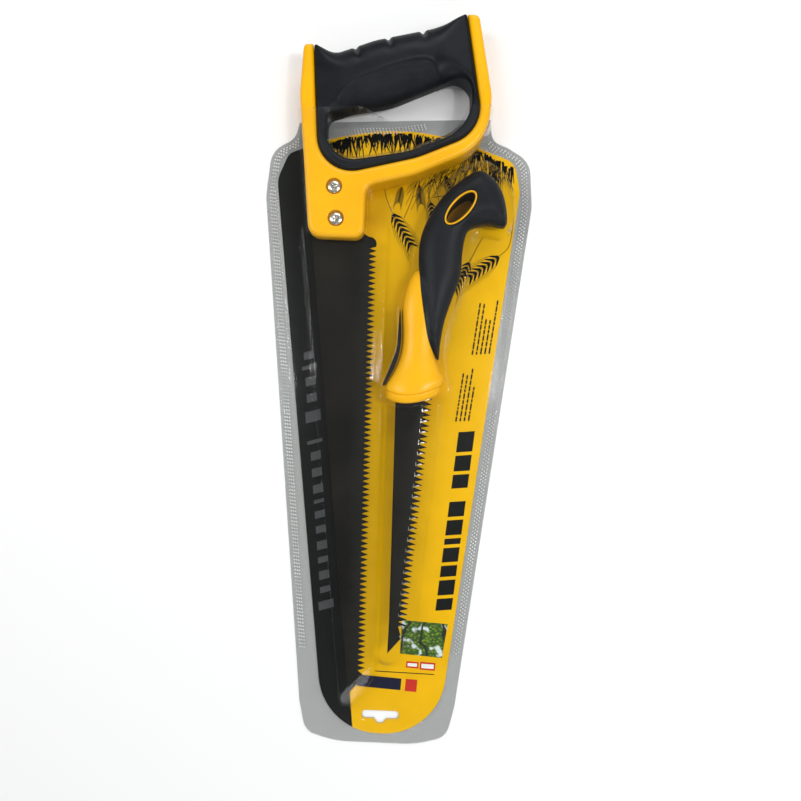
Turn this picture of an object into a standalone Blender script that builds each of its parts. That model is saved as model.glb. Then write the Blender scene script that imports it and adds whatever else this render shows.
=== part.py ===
"""Pruning saw pair sealed in a clear pack: a D-handled saw and a pistol-grip saw on a printed card.

The pack lies on its back. +Y runs along the pack from its hanging slot to the large saw's grip,
+X is to the right and +Z comes out of the card. The origin is on the rear shell's flat back, on
the pack's centre line. Lengths are millimetres and become metres where a mesh is made.
"""

import math

import bmesh
import bpy
from mathutils import Matrix, Vector

MM = 0.001
GAP = 0.3                      # clearance between pieces that touch on the real object

# layers of the pack, from the back
SHEET = 0.5                    # thickness of the clear plastic
CARD_BOTTOM = SHEET + GAP
CARD_TOP = CARD_BOTTOM + 0.4
STEP_TOP = CARD_TOP + GAP + SHEET
FLANGE_TOP = CARD_BOTTOM + SHEET

# both saws lie in one plane
BLADE_PLANE = 14.6
LARGE_BLADE_THICKNESS = 1.0
SMALL_BLADE_THICKNESS = 1.2
TOOTH_PITCH = 3.63             # seven teeth to the inch
LARGE_TOOTH_DEPTH = 4.2
SMALL_TOOTH_DEPTH = 5.0

# large saw handle
FRAME_HALF = 11.0
RING_HALF = 11.5
GRIP_HALF = 13.5
FRAME_EDGE = 2.8               # radius of the frame's rounded edges
RING_EDGE = 2.4
CORE_BEAM = ((-64.0, 242.0), (52.0, 254.0), 6.0, math.radians(9))   # corners, half depth and turn
TANG_SLOT = ((-54.5, 120.0), (-26.2, 169.3))
HEEL_SLOT = ((-58.5, 120.0), (-10.0, 136.3))
SCREWS = ((-42.7, 161.9), (-40.7, 141.0))
SCREW_HEAD_RADIUS = 4.5
SCREW_SHANK_RADIUS = 1.9
SLEEVE_RADIUS = 2.9
COUNTERBORE_RADIUS = 5.3
COUNTERBORE_DEPTH = 3.0
SHANK_REACH = 5.0              # how far the screw goes below the blade
HEAD_RISE = 2.2
RECESS = (2.4, 0.45, 1.3, 0.4)  # half length, half width, depth and turn of the cross
NUT_FLOOR_REACH = 6.0
NUT_SET_BACK = 0.5
NUT_MOUTH_GAP = 1.5

# small saw handle
SMALL_GRIP_HALF = 11.5
SMALL_CORE_HALF = 4.5
HANG_HOLE = (41.0, 151.3)
HANG_HOLE_RADII = (12.9, 5.1)
HANG_HOLE_TILT = math.radians(50)
RIM_WIDTH = 1.5
SMALL_GRIP_EDGE = 2.0
SMALL_SHOULDER_SLOT = ((3.2, 15.0), (28.8, 30.3))
SMALL_TANG_SLOT = ((8.7, 20.0), (23.3, 70.3))
STRIP_HALF = 3.0
BOSS_PROUD = 0.2               # how far the hanging hole's rim stands out of the soft grip

# clear front shell
POCKET_CLEARANCE = 0.8
PACK_TRIM = 3.0                # the flange is made this much too wide and cut back to the pack's outline
HANDLE_POCKET_TOP = 27.3
SMALL_POCKET_TOP = 28.4
BLADE_POCKET_TOP = 17.2
THROUGH_ALL = 45.0             # a height above and below every piece, for cutters

CARD_TOP_RADIUS = 151.0
CARD_TOP_CREST = 208.7


# ---------------------------------------------------------------- outlines

def rounded(corners, steps=5):
    """Closed outline from corners (x, y, radius), each radius drawn as an arc."""
    outline = []
    for index, (x, y, radius) in enumerate(corners):
        here = Vector((x, y))
        back = Vector(corners[index - 1][:2]) - here
        ahead = Vector(corners[(index + 1) % len(corners)][:2]) - here
        if radius == 0:
            outline.append((x, y))
            continue
        back.normalize()
        ahead.normalize()
        half_angle = back.angle(ahead) / 2
        centre = here + (back + ahead).normalized() * radius / math.sin(half_angle)
        start = here + back * radius / math.tan(half_angle) - centre
        sweep = (math.pi - 2 * half_angle) * (1 if back.cross(ahead) < 0 else -1)
        for step in range(steps + 1):
            turned_arm = Matrix.Rotation(sweep * step / steps, 2) @ start
            outline.append(tuple(centre + turned_arm))
    return outline


def smooth(points, steps=3):
    """Closed Catmull-Rom curve through the points."""
    count = len(points)
    outline = []
    for index in range(count):
        a, b, c, d = (Vector(points[(index + shift) % count]) for shift in (-1, 0, 1, 2))
        for step in range(steps):
            t = step / steps
            outline.append(tuple(0.5 * ((2 * b) + (c - a) * t + (2 * a - 5 * b + 4 * c - d) * t * t
                                        + (3 * b - a - 3 * c + d) * t ** 3)))
    return outline


def ellipse(centre, radii, tilt, steps=28):
    """Ellipse with its long axis turned by tilt from +X."""
    outline = []
    for step in range(steps):
        angle = 2 * math.pi * step / steps
        arm = Matrix.Rotation(tilt, 2) @ Vector((radii[0] * math.cos(angle), radii[1] * math.sin(angle)))
        outline.append((centre[0] + arm.x, centre[1] + arm.y))
    return outline


def area(outline):
    """Signed area: positive when the outline runs anticlockwise."""
    return sum(a[0] * b[1] - b[0] * a[1] for a, b in zip(outline, outline[1:] + outline[:1])) / 2


def grown(outline, distance):
    """Outline moved outwards by distance, corner by corner."""
    side = 1 if area(outline) > 0 else -1
    moved = []
    for index, point in enumerate(outline):
        here = Vector(point)
        before = (here - Vector(outline[index - 1])).normalized()
        after = (Vector(outline[(index + 1) % len(outline)]) - here).normalized()
        normal = Vector((before.y + after.y, -before.x - after.x)).normalized() * side
        reach = max(0.5, normal.dot(Vector((after.y, -after.x))) * side)
        moved.append(tuple(here + normal * distance / reach))
    return moved


def toothed_edge(start, end, pitch, depth):
    """Points of a row of pointed teeth from start to end; the tips lie on the line."""
    start, end = Vector(start), Vector(end)
    along = (end - start).normalized()
    inward = Vector((along.y, -along.x))
    count = int((end - start).length / pitch)
    edge = []
    for tooth in range(count):
        edge.append(tuple(start + along * pitch * tooth + inward * depth))
        edge.append(tuple(start + along * pitch * (tooth + 0.5)))
    edge.append(tuple(start + along * pitch * count + inward * depth))
    return edge


PACK_SIDE = ((27.0, -212.8, 60), (48.6, -207.0, 12), (53.4, -186.0, 30), (91.6, 160.0, 30),
             (89.0, 191.5, 16), (73.0, 200.5, 12))
PACK = rounded(list(PACK_SIDE) + [(62.0, 204.5, 9), (60.8, 219.5, 1), (-70.8, 211.5, 1)]
               + [(-x, y, radius) for x, y, radius in reversed(PACK_SIDE)])


def card_outline():
    """Tapered card with a round lower end and a wide shallow arch at the top."""
    arch = []
    for step in range(-3, 4):
        x = step * 20
        arch.append((x, CARD_TOP_CREST - x * x / (2 * CARD_TOP_RADIUS), 0))
    corners = [(-36.1, -206.2, 42), (42.3, -206.2, 42), (82.9, 170, 22), (78.5, 190.5, 12)]
    corners += [(x, y, radius) for x, y, radius in reversed(arch)]
    corners += [(-77.0, 190.0, 8), (-84.2, 172, 20)]
    return rounded(corners, 7)


CARD = card_outline()
HANG_SLOT = rounded([(-10.0, -190.4, 2.4), (-10.0, -195.7, 2.4), (-1.6, -195.7, 1), (0.6, -198.8, 2),
                     (4.8, -198.8, 2), (7.0, -195.7, 1), (15.4, -195.7, 2.4), (15.4, -190.4, 2.4)])

HANDLE_OUTER = [(-58.2, 128.8, 8.5), (-21.7, 128.8, 7), (-21.7, 163.3, 8), (10, 172, 60),
                (56.5, 193.5, 36), (58.6, 226, 40), (47.9, 279.2, 4)]
HANDLE_INNER = [(40.0, 279.0, 0), (54.0, 203.0, 25), (11, 183.7, 60), (-53.2, 166.8, 23)]
FRAME = rounded(HANDLE_OUTER + HANDLE_INNER + [(-60.4, 255.2, 0), (-66.9, 255.2, 3), (-68.0, 222, 60)])
HANDLE_SOLID = rounded(HANDLE_OUTER + [(-66.9, 255.2, 3), (-68.0, 222, 60)])
OVERMOULD = rounded([(39.5, 279.4, 1.5), (53.6, 203.6, 24.7), (11, 184.1, 60), (-52.8, 167.3, 22.7),
                     (-60.1, 256.0, 1.5), (-47, 251.3, 14), (-20, 261.8, 60), (27, 273.2, 30)])
HAND_HOLE = rounded([(-50.3, 176.4, 18.5), (5, 187.1, 60), (46.5, 204.5, 29), (44.2, 242.8, 9.5),
                     (-8, 219, 60), (-49.3, 210.9, 5)])
# stations of the grip's bulge along its own axis: place, upper side, lower side, half depth
GRIP_CENTRE = (-6.0, 240.5)
GRIP_SLOPE = math.radians(17)
GRIP_BULGE = ((-40, -17, 12, 9.0), (-34, -19.0, 16.0, 12.2), (-20, -21.0, 17.0, GRIP_HALF),
              (10, -21.0, 17.0, GRIP_HALF), (26, -21.0, 15.0, 13.2), (34, -20.0, 10.0, 12.0),
              (40, -17, 4, 9.0))
BULGE_POINTS = 24

LARGE_BACK_TOP = (-57.0, 130.2)
LARGE_BACK_END = (-19.4, -174.6)
LARGE_TEETH = ((-13.6, 124.5), (-9.1, -159.8))
LARGE_BLADE = ([LARGE_BACK_END, LARGE_BACK_TOP, (-54.2, 136.0), (-54.2, 169.0), (-29.0, 169.0),
                (-26.5, 136.0), (-19.0, 132.1), (-14.4, 129.0), (-13.6, 126.0)]
               + toothed_edge(LARGE_TEETH[0], LARGE_TEETH[1], TOOTH_PITCH, LARGE_TOOTH_DEPTH)
               + [(-8.9, -162.0)])

SMALL_TEETH = ((28.3, 27.0), (17.0, -132.0))
SMALL_BLADE = ([(5.6, -146.2), (5.9, -123.8), (3.8, 20.9), (3.9, 30.0), (9.0, 30.0), (9.0, 70.0),
                (23.0, 70.0), (23.0, 30.0), (28.0, 30.0)]
               + toothed_edge(SMALL_TEETH[0], SMALL_TEETH[1], TOOTH_PITCH, SMALL_TOOTH_DEPTH)
               + [(14.6, -135.6)])

SMALL_GRIP = smooth([(31.0, 52.5), (28.2, 53.5), (25.0, 60.0), (22.8, 67.0), (20.7, 77.1), (18.3, 90.0),
                     (16.5, 103.1), (15.0, 125.5), (19.1, 142.7), (29.3, 160.2), (42.0, 172.3),
                     (50.5, 177.8), (56.5, 177.7), (65.1, 170.6), (70.2, 160.9), (72.7, 148.5),
                     (72.0, 142.6), (67.8, 142.1), (60.5, 143.2), (52.5, 141.6), (46.6, 137.5),
                     (44.1, 125.1), (43.2, 107.5), (39.0, 92.6), (34.2, 76.6), (32.4, 62.0)])
SMALL_CORE_WEB = smooth([(10.0, 90.0), (22.0, 120.0), (27.0, 140.0), (40.0, 160.0), (54.0, 168.0),
                         (61.0, 160.0), (54.0, 149.0), (42.0, 139.0), (37.0, 125.0), (36.0, 107.0),
                         (32.0, 92.0), (20.0, 86.0)])

# stations of the small handle's moulded flare: y, left, right, half depth
FLARE = ((23.4, -2.2, 31.0, 10.6), (25.6, -3.4, 34.0, 12.1), (30.0, -3.6, 35.4, 12.4),
         (34.0, -2.2, 34.9, 12.2), (40.0, 0.6, 33.0, 11.4), (47.0, 3.6, 31.0, 10.6),
         (56.0, 6.0, 28.4, 10.0), (68.0, 6.4, 28.0, 9.6), (82.0, 5.4, 30.0, 9.2),
         (95.0, 6.8, 33.0, 8.8), (105.0, 10.0, 33.0, 7.0), (110.0, 13.5, 28.0, 3.5))
SIDE_STRIP = smooth([(3.4, 83.0), (4.6, 70.0), (4.4, 58.0), (1.6, 46.5), (-3.6, 35.6), (-4.6, 33.4),
                     (-5.2, 34.6), (-1.0, 46.0), (3.0, 58.0), (3.2, 70.0)])

BLADE_POCKET = rounded([(-64.5, 138, 4), (-63.0, 126, 8), (-24.8, -182.0, 5), (-17.0, -184.0, 3),
                        (-2.8, -164.0, 5), (-6.5, 112, 10), (-6.5, 138, 6), (-20.0, 150, 4)])
SMALL_BLADE_POCKET = rounded([(-0.5, 30, 2), (0.6, -152.0, 4), (7.0, -156.0, 3), (22.8, -135, 6),
                              (34.5, 30, 2)])
SMALL_SAW_POCKET = smooth([(-6.6, 27.0), (-5.4, 20.8), (9.5, 18.8), (28.0, 22.0), (38.4, 29.0),
                           (37.6, 38.0), (35.2, 56.0), (38.0, 76.0), (43.4, 92.0), (47.6, 107.5),
                           (48.4, 125.0), (51.5, 136.0), (60.5, 139.6), (72.0, 138.8), (76.0, 144.5),
                           (74.6, 161.9), (68.6, 173.8), (57.5, 181.6), (48.5, 180.8), (39.0, 175.3),
                           (25.6, 162.5), (15.4, 145.0), (11.2, 125.5), (9.0, 106.0), (2.0, 84.0),
                           (2.4, 68.0), (1.6, 56.0), (-2.4, 44.0), (-6.4, 35.0)])


# ---------------------------------------------------------------- making solids

def collection(name):
    """New collection under the scene's own."""
    group = bpy.data.collections.new(name)
    bpy.context.scene.collection.children.link(group)
    return group


def add_mesh(name, mesh, group):
    """Object for a mesh, linked to a collection."""
    thing = bpy.data.objects.new(name, mesh)
    group.objects.link(thing)
    return thing


def plate(name, outlines, bottom, top, group, edge=0.0, edge_steps=2):
    """Flat outline with holes, extruded from bottom to top, with edges rounded by edge."""
    curve = bpy.data.curves.new(name, "CURVE")
    curve.dimensions = "2D"
    curve.fill_mode = "BOTH"
    curve.extrude = ((top - bottom) / 2 - edge) * MM
    curve.bevel_depth = edge * MM
    curve.bevel_resolution = edge_steps
    curve.offset = -edge * MM
    for number, outline in enumerate(outlines):
        points = outline if (area(outline) > 0) == (number == 0) else outline[::-1]
        spline = curve.splines.new("POLY")
        spline.points.add(len(points) - 1)
        for point, (x, y) in zip(spline.points, points):
            point.co = (x * MM, y * MM, 0, 1)
        spline.use_cyclic_u = True
    drawn = bpy.data.objects.new(name + "_outline", curve)
    group.objects.link(drawn)
    drawn.location.z = (bottom + top) / 2 * MM
    bpy.context.view_layer.update()
    mesh = bpy.data.meshes.new_from_object(drawn.evaluated_get(bpy.context.evaluated_depsgraph_get()))
    mesh.transform(drawn.matrix_world)
    bpy.data.objects.remove(drawn)
    bpy.data.curves.remove(curve)
    shape = bmesh.new()
    shape.from_mesh(mesh)
    bmesh.ops.remove_doubles(shape, verts=shape.verts, dist=0.002 * MM)
    bmesh.ops.recalc_face_normals(shape, faces=shape.faces)
    shape.to_mesh(mesh)
    shape.free()
    mesh.name = name
    return add_mesh(name, mesh, group)


def turned(name, profile, centre, group, steps=24):
    """Solid turned about Z from a profile of (radius, height) that starts and ends on the axis."""
    mesh = bpy.data.meshes.new(name)
    points = [(radius * MM, 0, height * MM) for radius, height in profile]
    mesh.from_pydata(points, [(index, index + 1) for index in range(len(points) - 1)], [])
    thing = add_mesh(name, mesh, group)
    thing.location = (centre[0] * MM, centre[1] * MM, 0)
    screw = thing.modifiers.new("turn", "SCREW")
    screw.steps = steps
    screw.render_steps = steps
    screw.use_merge_vertices = True
    screw.merge_threshold = 0.001 * MM
    return thing


def oval_loft(name, stations, group, grow=0.0, points=28, power=0.85):
    """Solid through oval sections across Y, each given as (y, left, right, half depth)."""
    shape = bmesh.new()
    rings = []
    for number, (y, left, right, half) in enumerate(stations):
        end_shift = -grow if number == 0 else grow if number == len(stations) - 1 else 0
        middle, reach = (left + right) / 2, (right - left) / 2 + grow
        ring = []
        for step in range(points):
            angle = 2 * math.pi * step / points
            across = math.copysign(abs(math.cos(angle)) ** power, math.cos(angle))
            rise = math.copysign(abs(math.sin(angle)) ** power, math.sin(angle))
            place = Vector((middle + reach * across, y + end_shift, BLADE_PLANE + (half + grow) * rise))
            ring.append(shape.verts.new(place * MM))
        rings.append(ring)
    for low, high in zip(rings, rings[1:]):
        for step in range(points):
            following = (step + 1) % points
            shape.faces.new((low[step], low[following], high[following], high[step]))
    shape.faces.new(rings[0])
    shape.faces.new(rings[-1][::-1])
    bmesh.ops.recalc_face_normals(shape, faces=shape.faces)
    mesh = bpy.data.meshes.new(name)
    shape.to_mesh(mesh)
    shape.free()
    return add_mesh(name, mesh, group)


def box(name, low, high, group, turn=0.0):
    """Block between two corners, turned by an angle about its centre's Z."""
    shape = bmesh.new()
    bmesh.ops.create_cube(shape, size=1)
    size = [(b - a) * MM for a, b in zip(low, high)]
    bmesh.ops.scale(shape, vec=size, verts=shape.verts)
    mesh = bpy.data.meshes.new(name)
    shape.to_mesh(mesh)
    shape.free()
    thing = add_mesh(name, mesh, group)
    thing.location = [(a + b) / 2 * MM for a, b in zip(low, high)]
    thing.rotation_euler.z = turn
    return thing


def combine(target, operation, *tools):
    """Boolean each tool with the target and keep the tools as hidden guides."""
    for tool in tools:
        tool.hide_render = True
        tool.display_type = "WIRE"
        joint = target.modifiers.new(operation.lower(), "BOOLEAN")
        joint.operation = operation
        joint.solver = "EXACT"
        joint.object = tool
    return target


def material(name, colour, roughness, metallic=0.0, alpha=1.0):
    """Principled material."""
    finish = bpy.data.materials.new(name)
    finish.use_nodes = True
    shader = finish.node_tree.nodes["Principled BSDF"]
    shader.inputs["Base Color"].default_value = (*colour, 1)
    shader.inputs["Roughness"].default_value = roughness
    shader.inputs["Metallic"].default_value = metallic
    shader.inputs["Alpha"].default_value = alpha
    return finish


# ---------------------------------------------------------------- pack

def slot_cutter(group):
    """Prism of the hanging slot, through every layer."""
    return plate("slot_cutter", [HANG_SLOT], -THROUGH_ALL, THROUGH_ALL, group)


def make_rear_shell(parts, cutters, clear):
    """Flat clear sheet that closes the back."""
    shell = plate("rear_shell", [PACK], 0, SHEET, parts)
    shell.data.materials.append(clear)
    combine(shell, "DIFFERENCE", slot_cutter(cutters))


def make_card(parts, cutters, printed):
    """Printed card held loose between the shells."""
    card = plate("backing_card", [CARD], CARD_BOTTOM, CARD_TOP, parts)
    card.data.materials.append(printed)
    combine(card, "DIFFERENCE", slot_cutter(cutters))


def pockets(label, group, extra, lower, drop):
    """Prisms of the three pockets: extra widens them and drop lowers their tops."""
    island = grown(HAND_HOLE, -extra - POCKET_CLEARANCE)
    top = HANDLE_POCKET_TOP - drop
    small_top = SMALL_POCKET_TOP - drop
    blade_top = BLADE_POCKET_TOP - drop
    return [
        plate(label + "_handle", [grown(HANDLE_SOLID, POCKET_CLEARANCE + extra), island], lower, top,
              group),
        plate(label + "_blade", [grown(BLADE_POCKET, extra)], lower, blade_top, group),
        plate(label + "_small_blade", [grown(SMALL_BLADE_POCKET, extra)], lower, blade_top, group),
        plate(label + "_small_saw", [grown(SMALL_SAW_POCKET, extra)], lower, small_top, group),
    ]


def make_front_shell(parts, cutters, clear):
    """Clear blister: a flange, a step over the card and the saws' pockets, open above the handle."""
    inside_flange = (CARD_BOTTOM + FLANGE_TOP) / 2
    shell = plate("front_shell", [grown(PACK, PACK_TRIM)], CARD_BOTTOM, FLANGE_TOP, parts)
    shell.data.materials.append(clear)
    step = plate("card_step", [grown(CARD, GAP + SHEET)], inside_flange, STEP_TOP, cutters)
    combine(shell, "UNION", step, *pockets("pocket", cutters, SHEET, inside_flange, 0))
    combine(shell, "INTERSECT", plate("pack_prism", [PACK], -THROUGH_ALL, THROUGH_ALL, cutters))
    under_step = plate("under_step", [grown(CARD, GAP)], 0, STEP_TOP - SHEET, cutters)
    combine(shell, "DIFFERENCE", under_step, *pockets("hollow", cutters, 0, 0, SHEET))
    combine(shell, "DIFFERENCE", slot_cutter(cutters))


# ---------------------------------------------------------------- large saw

def make_large_blade(parts, cutters, steel):
    """Toothed blade whose tang is held by two screws."""
    half = LARGE_BLADE_THICKNESS / 2
    blade = plate("large_blade", [LARGE_BLADE], BLADE_PLANE - half, BLADE_PLANE + half, parts)
    blade.data.materials.append(steel)
    for number, centre in enumerate(SCREWS):
        bore = SLEEVE_RADIUS + GAP
        profile = [(0, THROUGH_ALL), (bore, THROUGH_ALL), (bore, -THROUGH_ALL), (0, -THROUGH_ALL)]
        combine(blade, "DIFFERENCE", turned("tang_hole_%d" % number, profile, centre, cutters))


def grip_core(name, group, extra):
    """Beam that runs through the grip from arm to arm of the frame."""
    start, end, half, turn = CORE_BEAM
    low = (start[0] - extra, start[1] - extra, BLADE_PLANE - half - extra)
    high = (end[0] + extra, end[1] + extra, BLADE_PLANE + half + extra)
    return box(name, low, high, group, turn)


def blade_slot(name, corners, half, group):
    """Slot for a blade of half thickness half, with clearance, between two corners."""
    (left, bottom), (right, top) = corners
    reach = half + GAP
    return box(name, (left, bottom, BLADE_PLANE - reach), (right, top, BLADE_PLANE + reach), group)


def make_large_frame(parts, cutters, yellow):
    """Moulded frame: a U with the blade's slot, counterbored screw holes and a core beam."""
    front = BLADE_PLANE + FRAME_HALF
    back = BLADE_PLANE - FRAME_HALF
    frame = plate("large_handle_frame", [FRAME], back, front, parts, FRAME_EDGE)
    frame.data.materials.append(yellow)
    combine(frame, "UNION", grip_core("core_beam", cutters, 0))
    half = LARGE_BLADE_THICKNESS / 2
    combine(frame, "DIFFERENCE", blade_slot("tang_slot", TANG_SLOT, half, cutters),
            blade_slot("heel_slot", HEEL_SLOT, half, cutters))
    bore = SLEEVE_RADIUS + GAP
    front_seat = front - COUNTERBORE_DEPTH
    back_seat = back + COUNTERBORE_DEPTH
    profile = [(0, THROUGH_ALL), (COUNTERBORE_RADIUS, THROUGH_ALL), (COUNTERBORE_RADIUS, front_seat),
               (bore, front_seat), (bore, back_seat), (COUNTERBORE_RADIUS, back_seat),
               (COUNTERBORE_RADIUS, -THROUGH_ALL), (0, -THROUGH_ALL)]
    for number, centre in enumerate(SCREWS):
        combine(frame, "DIFFERENCE", turned("screw_bore_%d" % number, profile, centre, cutters))


def make_large_grip(parts, cutters, black):
    """Soft overmould: a ring that lines the hand hole and a thicker grip across the top."""
    ring = plate("large_handle_grip", [OVERMOULD, HAND_HOLE], BLADE_PLANE - RING_HALF,
                 BLADE_PLANE + RING_HALF, parts, RING_EDGE)
    ring.data.materials.append(black)
    bulge = oval_loft("grip_bulge", GRIP_BULGE, cutters, points=BULGE_POINTS)
    bulge.location = (GRIP_CENTRE[0] * MM, GRIP_CENTRE[1] * MM, 0)
    bulge.rotation_euler.z = GRIP_SLOPE - math.pi / 2
    combine(ring, "UNION", bulge)
    combine(ring, "DIFFERENCE", grip_core("core_beam_hollow", cutters, GAP))


def make_screw(name, centre, parts, cutters, steel):
    """Pan-head machine screw with a cross recess, seated in its counterbore."""
    seat = BLADE_PLANE + FRAME_HALF - COUNTERBORE_DEPTH + GAP
    crown = seat + HEAD_RISE
    end = BLADE_PLANE - SHANK_REACH
    profile = [(0, crown), (SCREW_HEAD_RADIUS * 0.55, crown - 0.15),
               (SCREW_HEAD_RADIUS * 0.85, crown - 0.6),
               (SCREW_HEAD_RADIUS, crown - 1.3), (SCREW_HEAD_RADIUS, seat), (SCREW_SHANK_RADIUS, seat),
               (SCREW_SHANK_RADIUS, end), (0, end)]
    screw = turned(name, profile, centre, parts)
    screw.data.materials.append(steel)
    length, width, depth, turn = RECESS
    low = (centre[0] - length, centre[1] - width, crown - depth)
    high = (centre[0] + length, centre[1] + width, THROUGH_ALL)
    for arm in range(2):
        combine(screw, "DIFFERENCE", box(name + "_recess", low, high, cutters, turn + arm * math.pi / 2))


def make_sleeve_nut(name, centre, parts, steel):
    """Flanged sleeve nut that takes the screw from the back."""
    face = BLADE_PLANE - FRAME_HALF + NUT_SET_BACK
    flange = BLADE_PLANE - FRAME_HALF + COUNTERBORE_DEPTH - GAP
    mouth = BLADE_PLANE + FRAME_HALF - COUNTERBORE_DEPTH - NUT_MOUTH_GAP
    bore = SCREW_SHANK_RADIUS + GAP
    depth = BLADE_PLANE - NUT_FLOOR_REACH
    profile = [(0, depth), (bore, depth), (bore, mouth), (SLEEVE_RADIUS, mouth), (SLEEVE_RADIUS, flange),
               (SCREW_HEAD_RADIUS, flange), (SCREW_HEAD_RADIUS, face), (0, face)]
    turned(name, profile, centre, parts).data.materials.append(steel)


# ---------------------------------------------------------------- small saw

def make_small_blade(parts, steel):
    """Narrow pointed blade with a tang moulded into the handle."""
    half = SMALL_BLADE_THICKNESS / 2
    blade = plate("small_blade", [SMALL_BLADE], BLADE_PLANE - half, BLADE_PLANE + half, parts)
    blade.data.materials.append(steel)


def core_pieces(label, group, extra):
    """The web inside the soft grip and the boss round the hanging hole."""
    radii = (HANG_HOLE_RADII[0] + RIM_WIDTH + extra, HANG_HOLE_RADII[1] + RIM_WIDTH + extra)
    web_half = SMALL_CORE_HALF + extra
    boss_half = THROUGH_ALL if extra else SMALL_GRIP_HALF + BOSS_PROUD
    web = [grown(SMALL_CORE_WEB, extra)]
    boss = [ellipse(HANG_HOLE, radii, HANG_HOLE_TILT)]
    return [plate(label + "_web", web, BLADE_PLANE - web_half, BLADE_PLANE + web_half, group),
            plate(label + "_boss", boss, BLADE_PLANE - boss_half, BLADE_PLANE + boss_half, group)]


def make_small_core(parts, cutters, yellow):
    """Hard core: the flare over the blade, the web inside the grip and the hanging hole's rim."""
    core = oval_loft("small_handle_core", FLARE, parts)
    core.data.materials.append(yellow)
    combine(core, "UNION", *core_pieces("core", cutters, 0))
    half = SMALL_BLADE_THICKNESS / 2
    hole = [ellipse(HANG_HOLE, HANG_HOLE_RADII, HANG_HOLE_TILT)]
    combine(core, "DIFFERENCE", plate("hang_hole", hole, -THROUGH_ALL, THROUGH_ALL, cutters),
            blade_slot("shoulder_slot", SMALL_SHOULDER_SLOT, half, cutters),
            blade_slot("small_tang_slot", SMALL_TANG_SLOT, half, cutters))


def make_small_grip(parts, cutters, black):
    """Soft overmould of the pistol grip and its hook."""
    grip = plate("small_handle_grip", [SMALL_GRIP], BLADE_PLANE - SMALL_GRIP_HALF,
                 BLADE_PLANE + SMALL_GRIP_HALF, parts, SMALL_GRIP_EDGE, 3)
    grip.data.materials.append(black)
    combine(grip, "DIFFERENCE", oval_loft("flare_hollow", FLARE, cutters, GAP),
            *core_pieces("hollow_core", cutters, GAP))


def make_side_strip(parts, cutters, black):
    """Thin soft strip along the flare's left edge."""
    strip = plate("small_handle_strip", [SIDE_STRIP], BLADE_PLANE - STRIP_HALF, BLADE_PLANE + STRIP_HALF,
                  parts)
    strip.data.materials.append(black)
    combine(strip, "DIFFERENCE", oval_loft("strip_seat", FLARE, cutters, GAP))


def main():
    for thing in list(bpy.data.objects):
        bpy.data.objects.remove(thing)
    parts = collection("packed_pruning_saws")
    cutters = collection("cutters")
    clear = material("clear_plastic", (0.78, 0.80, 0.80), 0.12, alpha=0.3)
    printed = material("printed_card", (0.71, 0.41, 0.0), 0.35)
    yellow = material("yellow_plastic", (0.90, 0.44, 0.0), 0.35)
    black = material("black_rubber", (0.012, 0.013, 0.016), 0.55)
    coated = material("coated_steel", (0.028, 0.027, 0.025), 0.42, metallic=0.6)
    bright = material("bright_steel", (0.62, 0.61, 0.58), 0.25, metallic=1.0)

    make_rear_shell(parts, cutters, clear)
    make_card(parts, cutters, printed)
    make_front_shell(parts, cutters, clear)
    make_large_blade(parts, cutters, coated)
    make_large_frame(parts, cutters, yellow)
    make_large_grip(parts, cutters, black)
    for place, centre in zip(("upper", "lower"), SCREWS):
        make_screw("handle_screw_" + place, centre, parts, cutters, bright)
        make_sleeve_nut("sleeve_nut_" + place, centre, parts, bright)
    make_small_blade(parts, coated)
    make_small_core(parts, cutters, yellow)
    make_small_grip(parts, cutters, black)
    make_side_strip(parts, cutters, black)


main()
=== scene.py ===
"""Looks of a sealed pack of two pruning saws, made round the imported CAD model.

Lengths are millimetres until a mesh is made. A flat-sided piece is a closed outline with a height
formula over it, a turned or swept piece is a section carried along an axis, and small repeated
shapes are made together as whole arrays.
"""

import math

import bpy
import numpy as np
from mathutils.geometry import delaunay_2d_cdt
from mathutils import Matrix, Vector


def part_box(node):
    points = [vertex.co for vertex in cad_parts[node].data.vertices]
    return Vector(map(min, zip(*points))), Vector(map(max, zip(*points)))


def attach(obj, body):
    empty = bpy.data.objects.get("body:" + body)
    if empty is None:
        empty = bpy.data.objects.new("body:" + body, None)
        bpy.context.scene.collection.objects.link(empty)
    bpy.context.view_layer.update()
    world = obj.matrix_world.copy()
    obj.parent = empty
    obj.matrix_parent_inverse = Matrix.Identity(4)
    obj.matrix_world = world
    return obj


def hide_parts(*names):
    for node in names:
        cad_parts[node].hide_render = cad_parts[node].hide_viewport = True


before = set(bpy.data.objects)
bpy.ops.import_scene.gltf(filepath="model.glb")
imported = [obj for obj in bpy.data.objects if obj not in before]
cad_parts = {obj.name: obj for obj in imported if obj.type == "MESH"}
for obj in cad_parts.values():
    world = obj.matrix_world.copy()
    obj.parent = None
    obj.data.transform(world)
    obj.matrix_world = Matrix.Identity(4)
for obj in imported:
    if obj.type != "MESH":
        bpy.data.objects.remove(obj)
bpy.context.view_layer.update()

MM = 0.001
BODY = "root"
X, Y, Z = 0, 1, 2


def low(node, axis):
    """Lowest place of a CAD node along an axis, in millimetres."""
    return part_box(node)[0][axis] / MM


def high(node, axis):
    """Highest place of a CAD node along an axis, in millimetres."""
    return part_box(node)[1][axis] / MM


def half_depth(node):
    """Half of a CAD node's depth, in millimetres."""
    return (high(node, Z) - low(node, Z)) / 2


def middle(node):
    """Centre of a CAD node seen from above, in millimetres."""
    return np.array([(low(node, axis) + high(node, axis)) / 2 for axis in (X, Y)])


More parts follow.
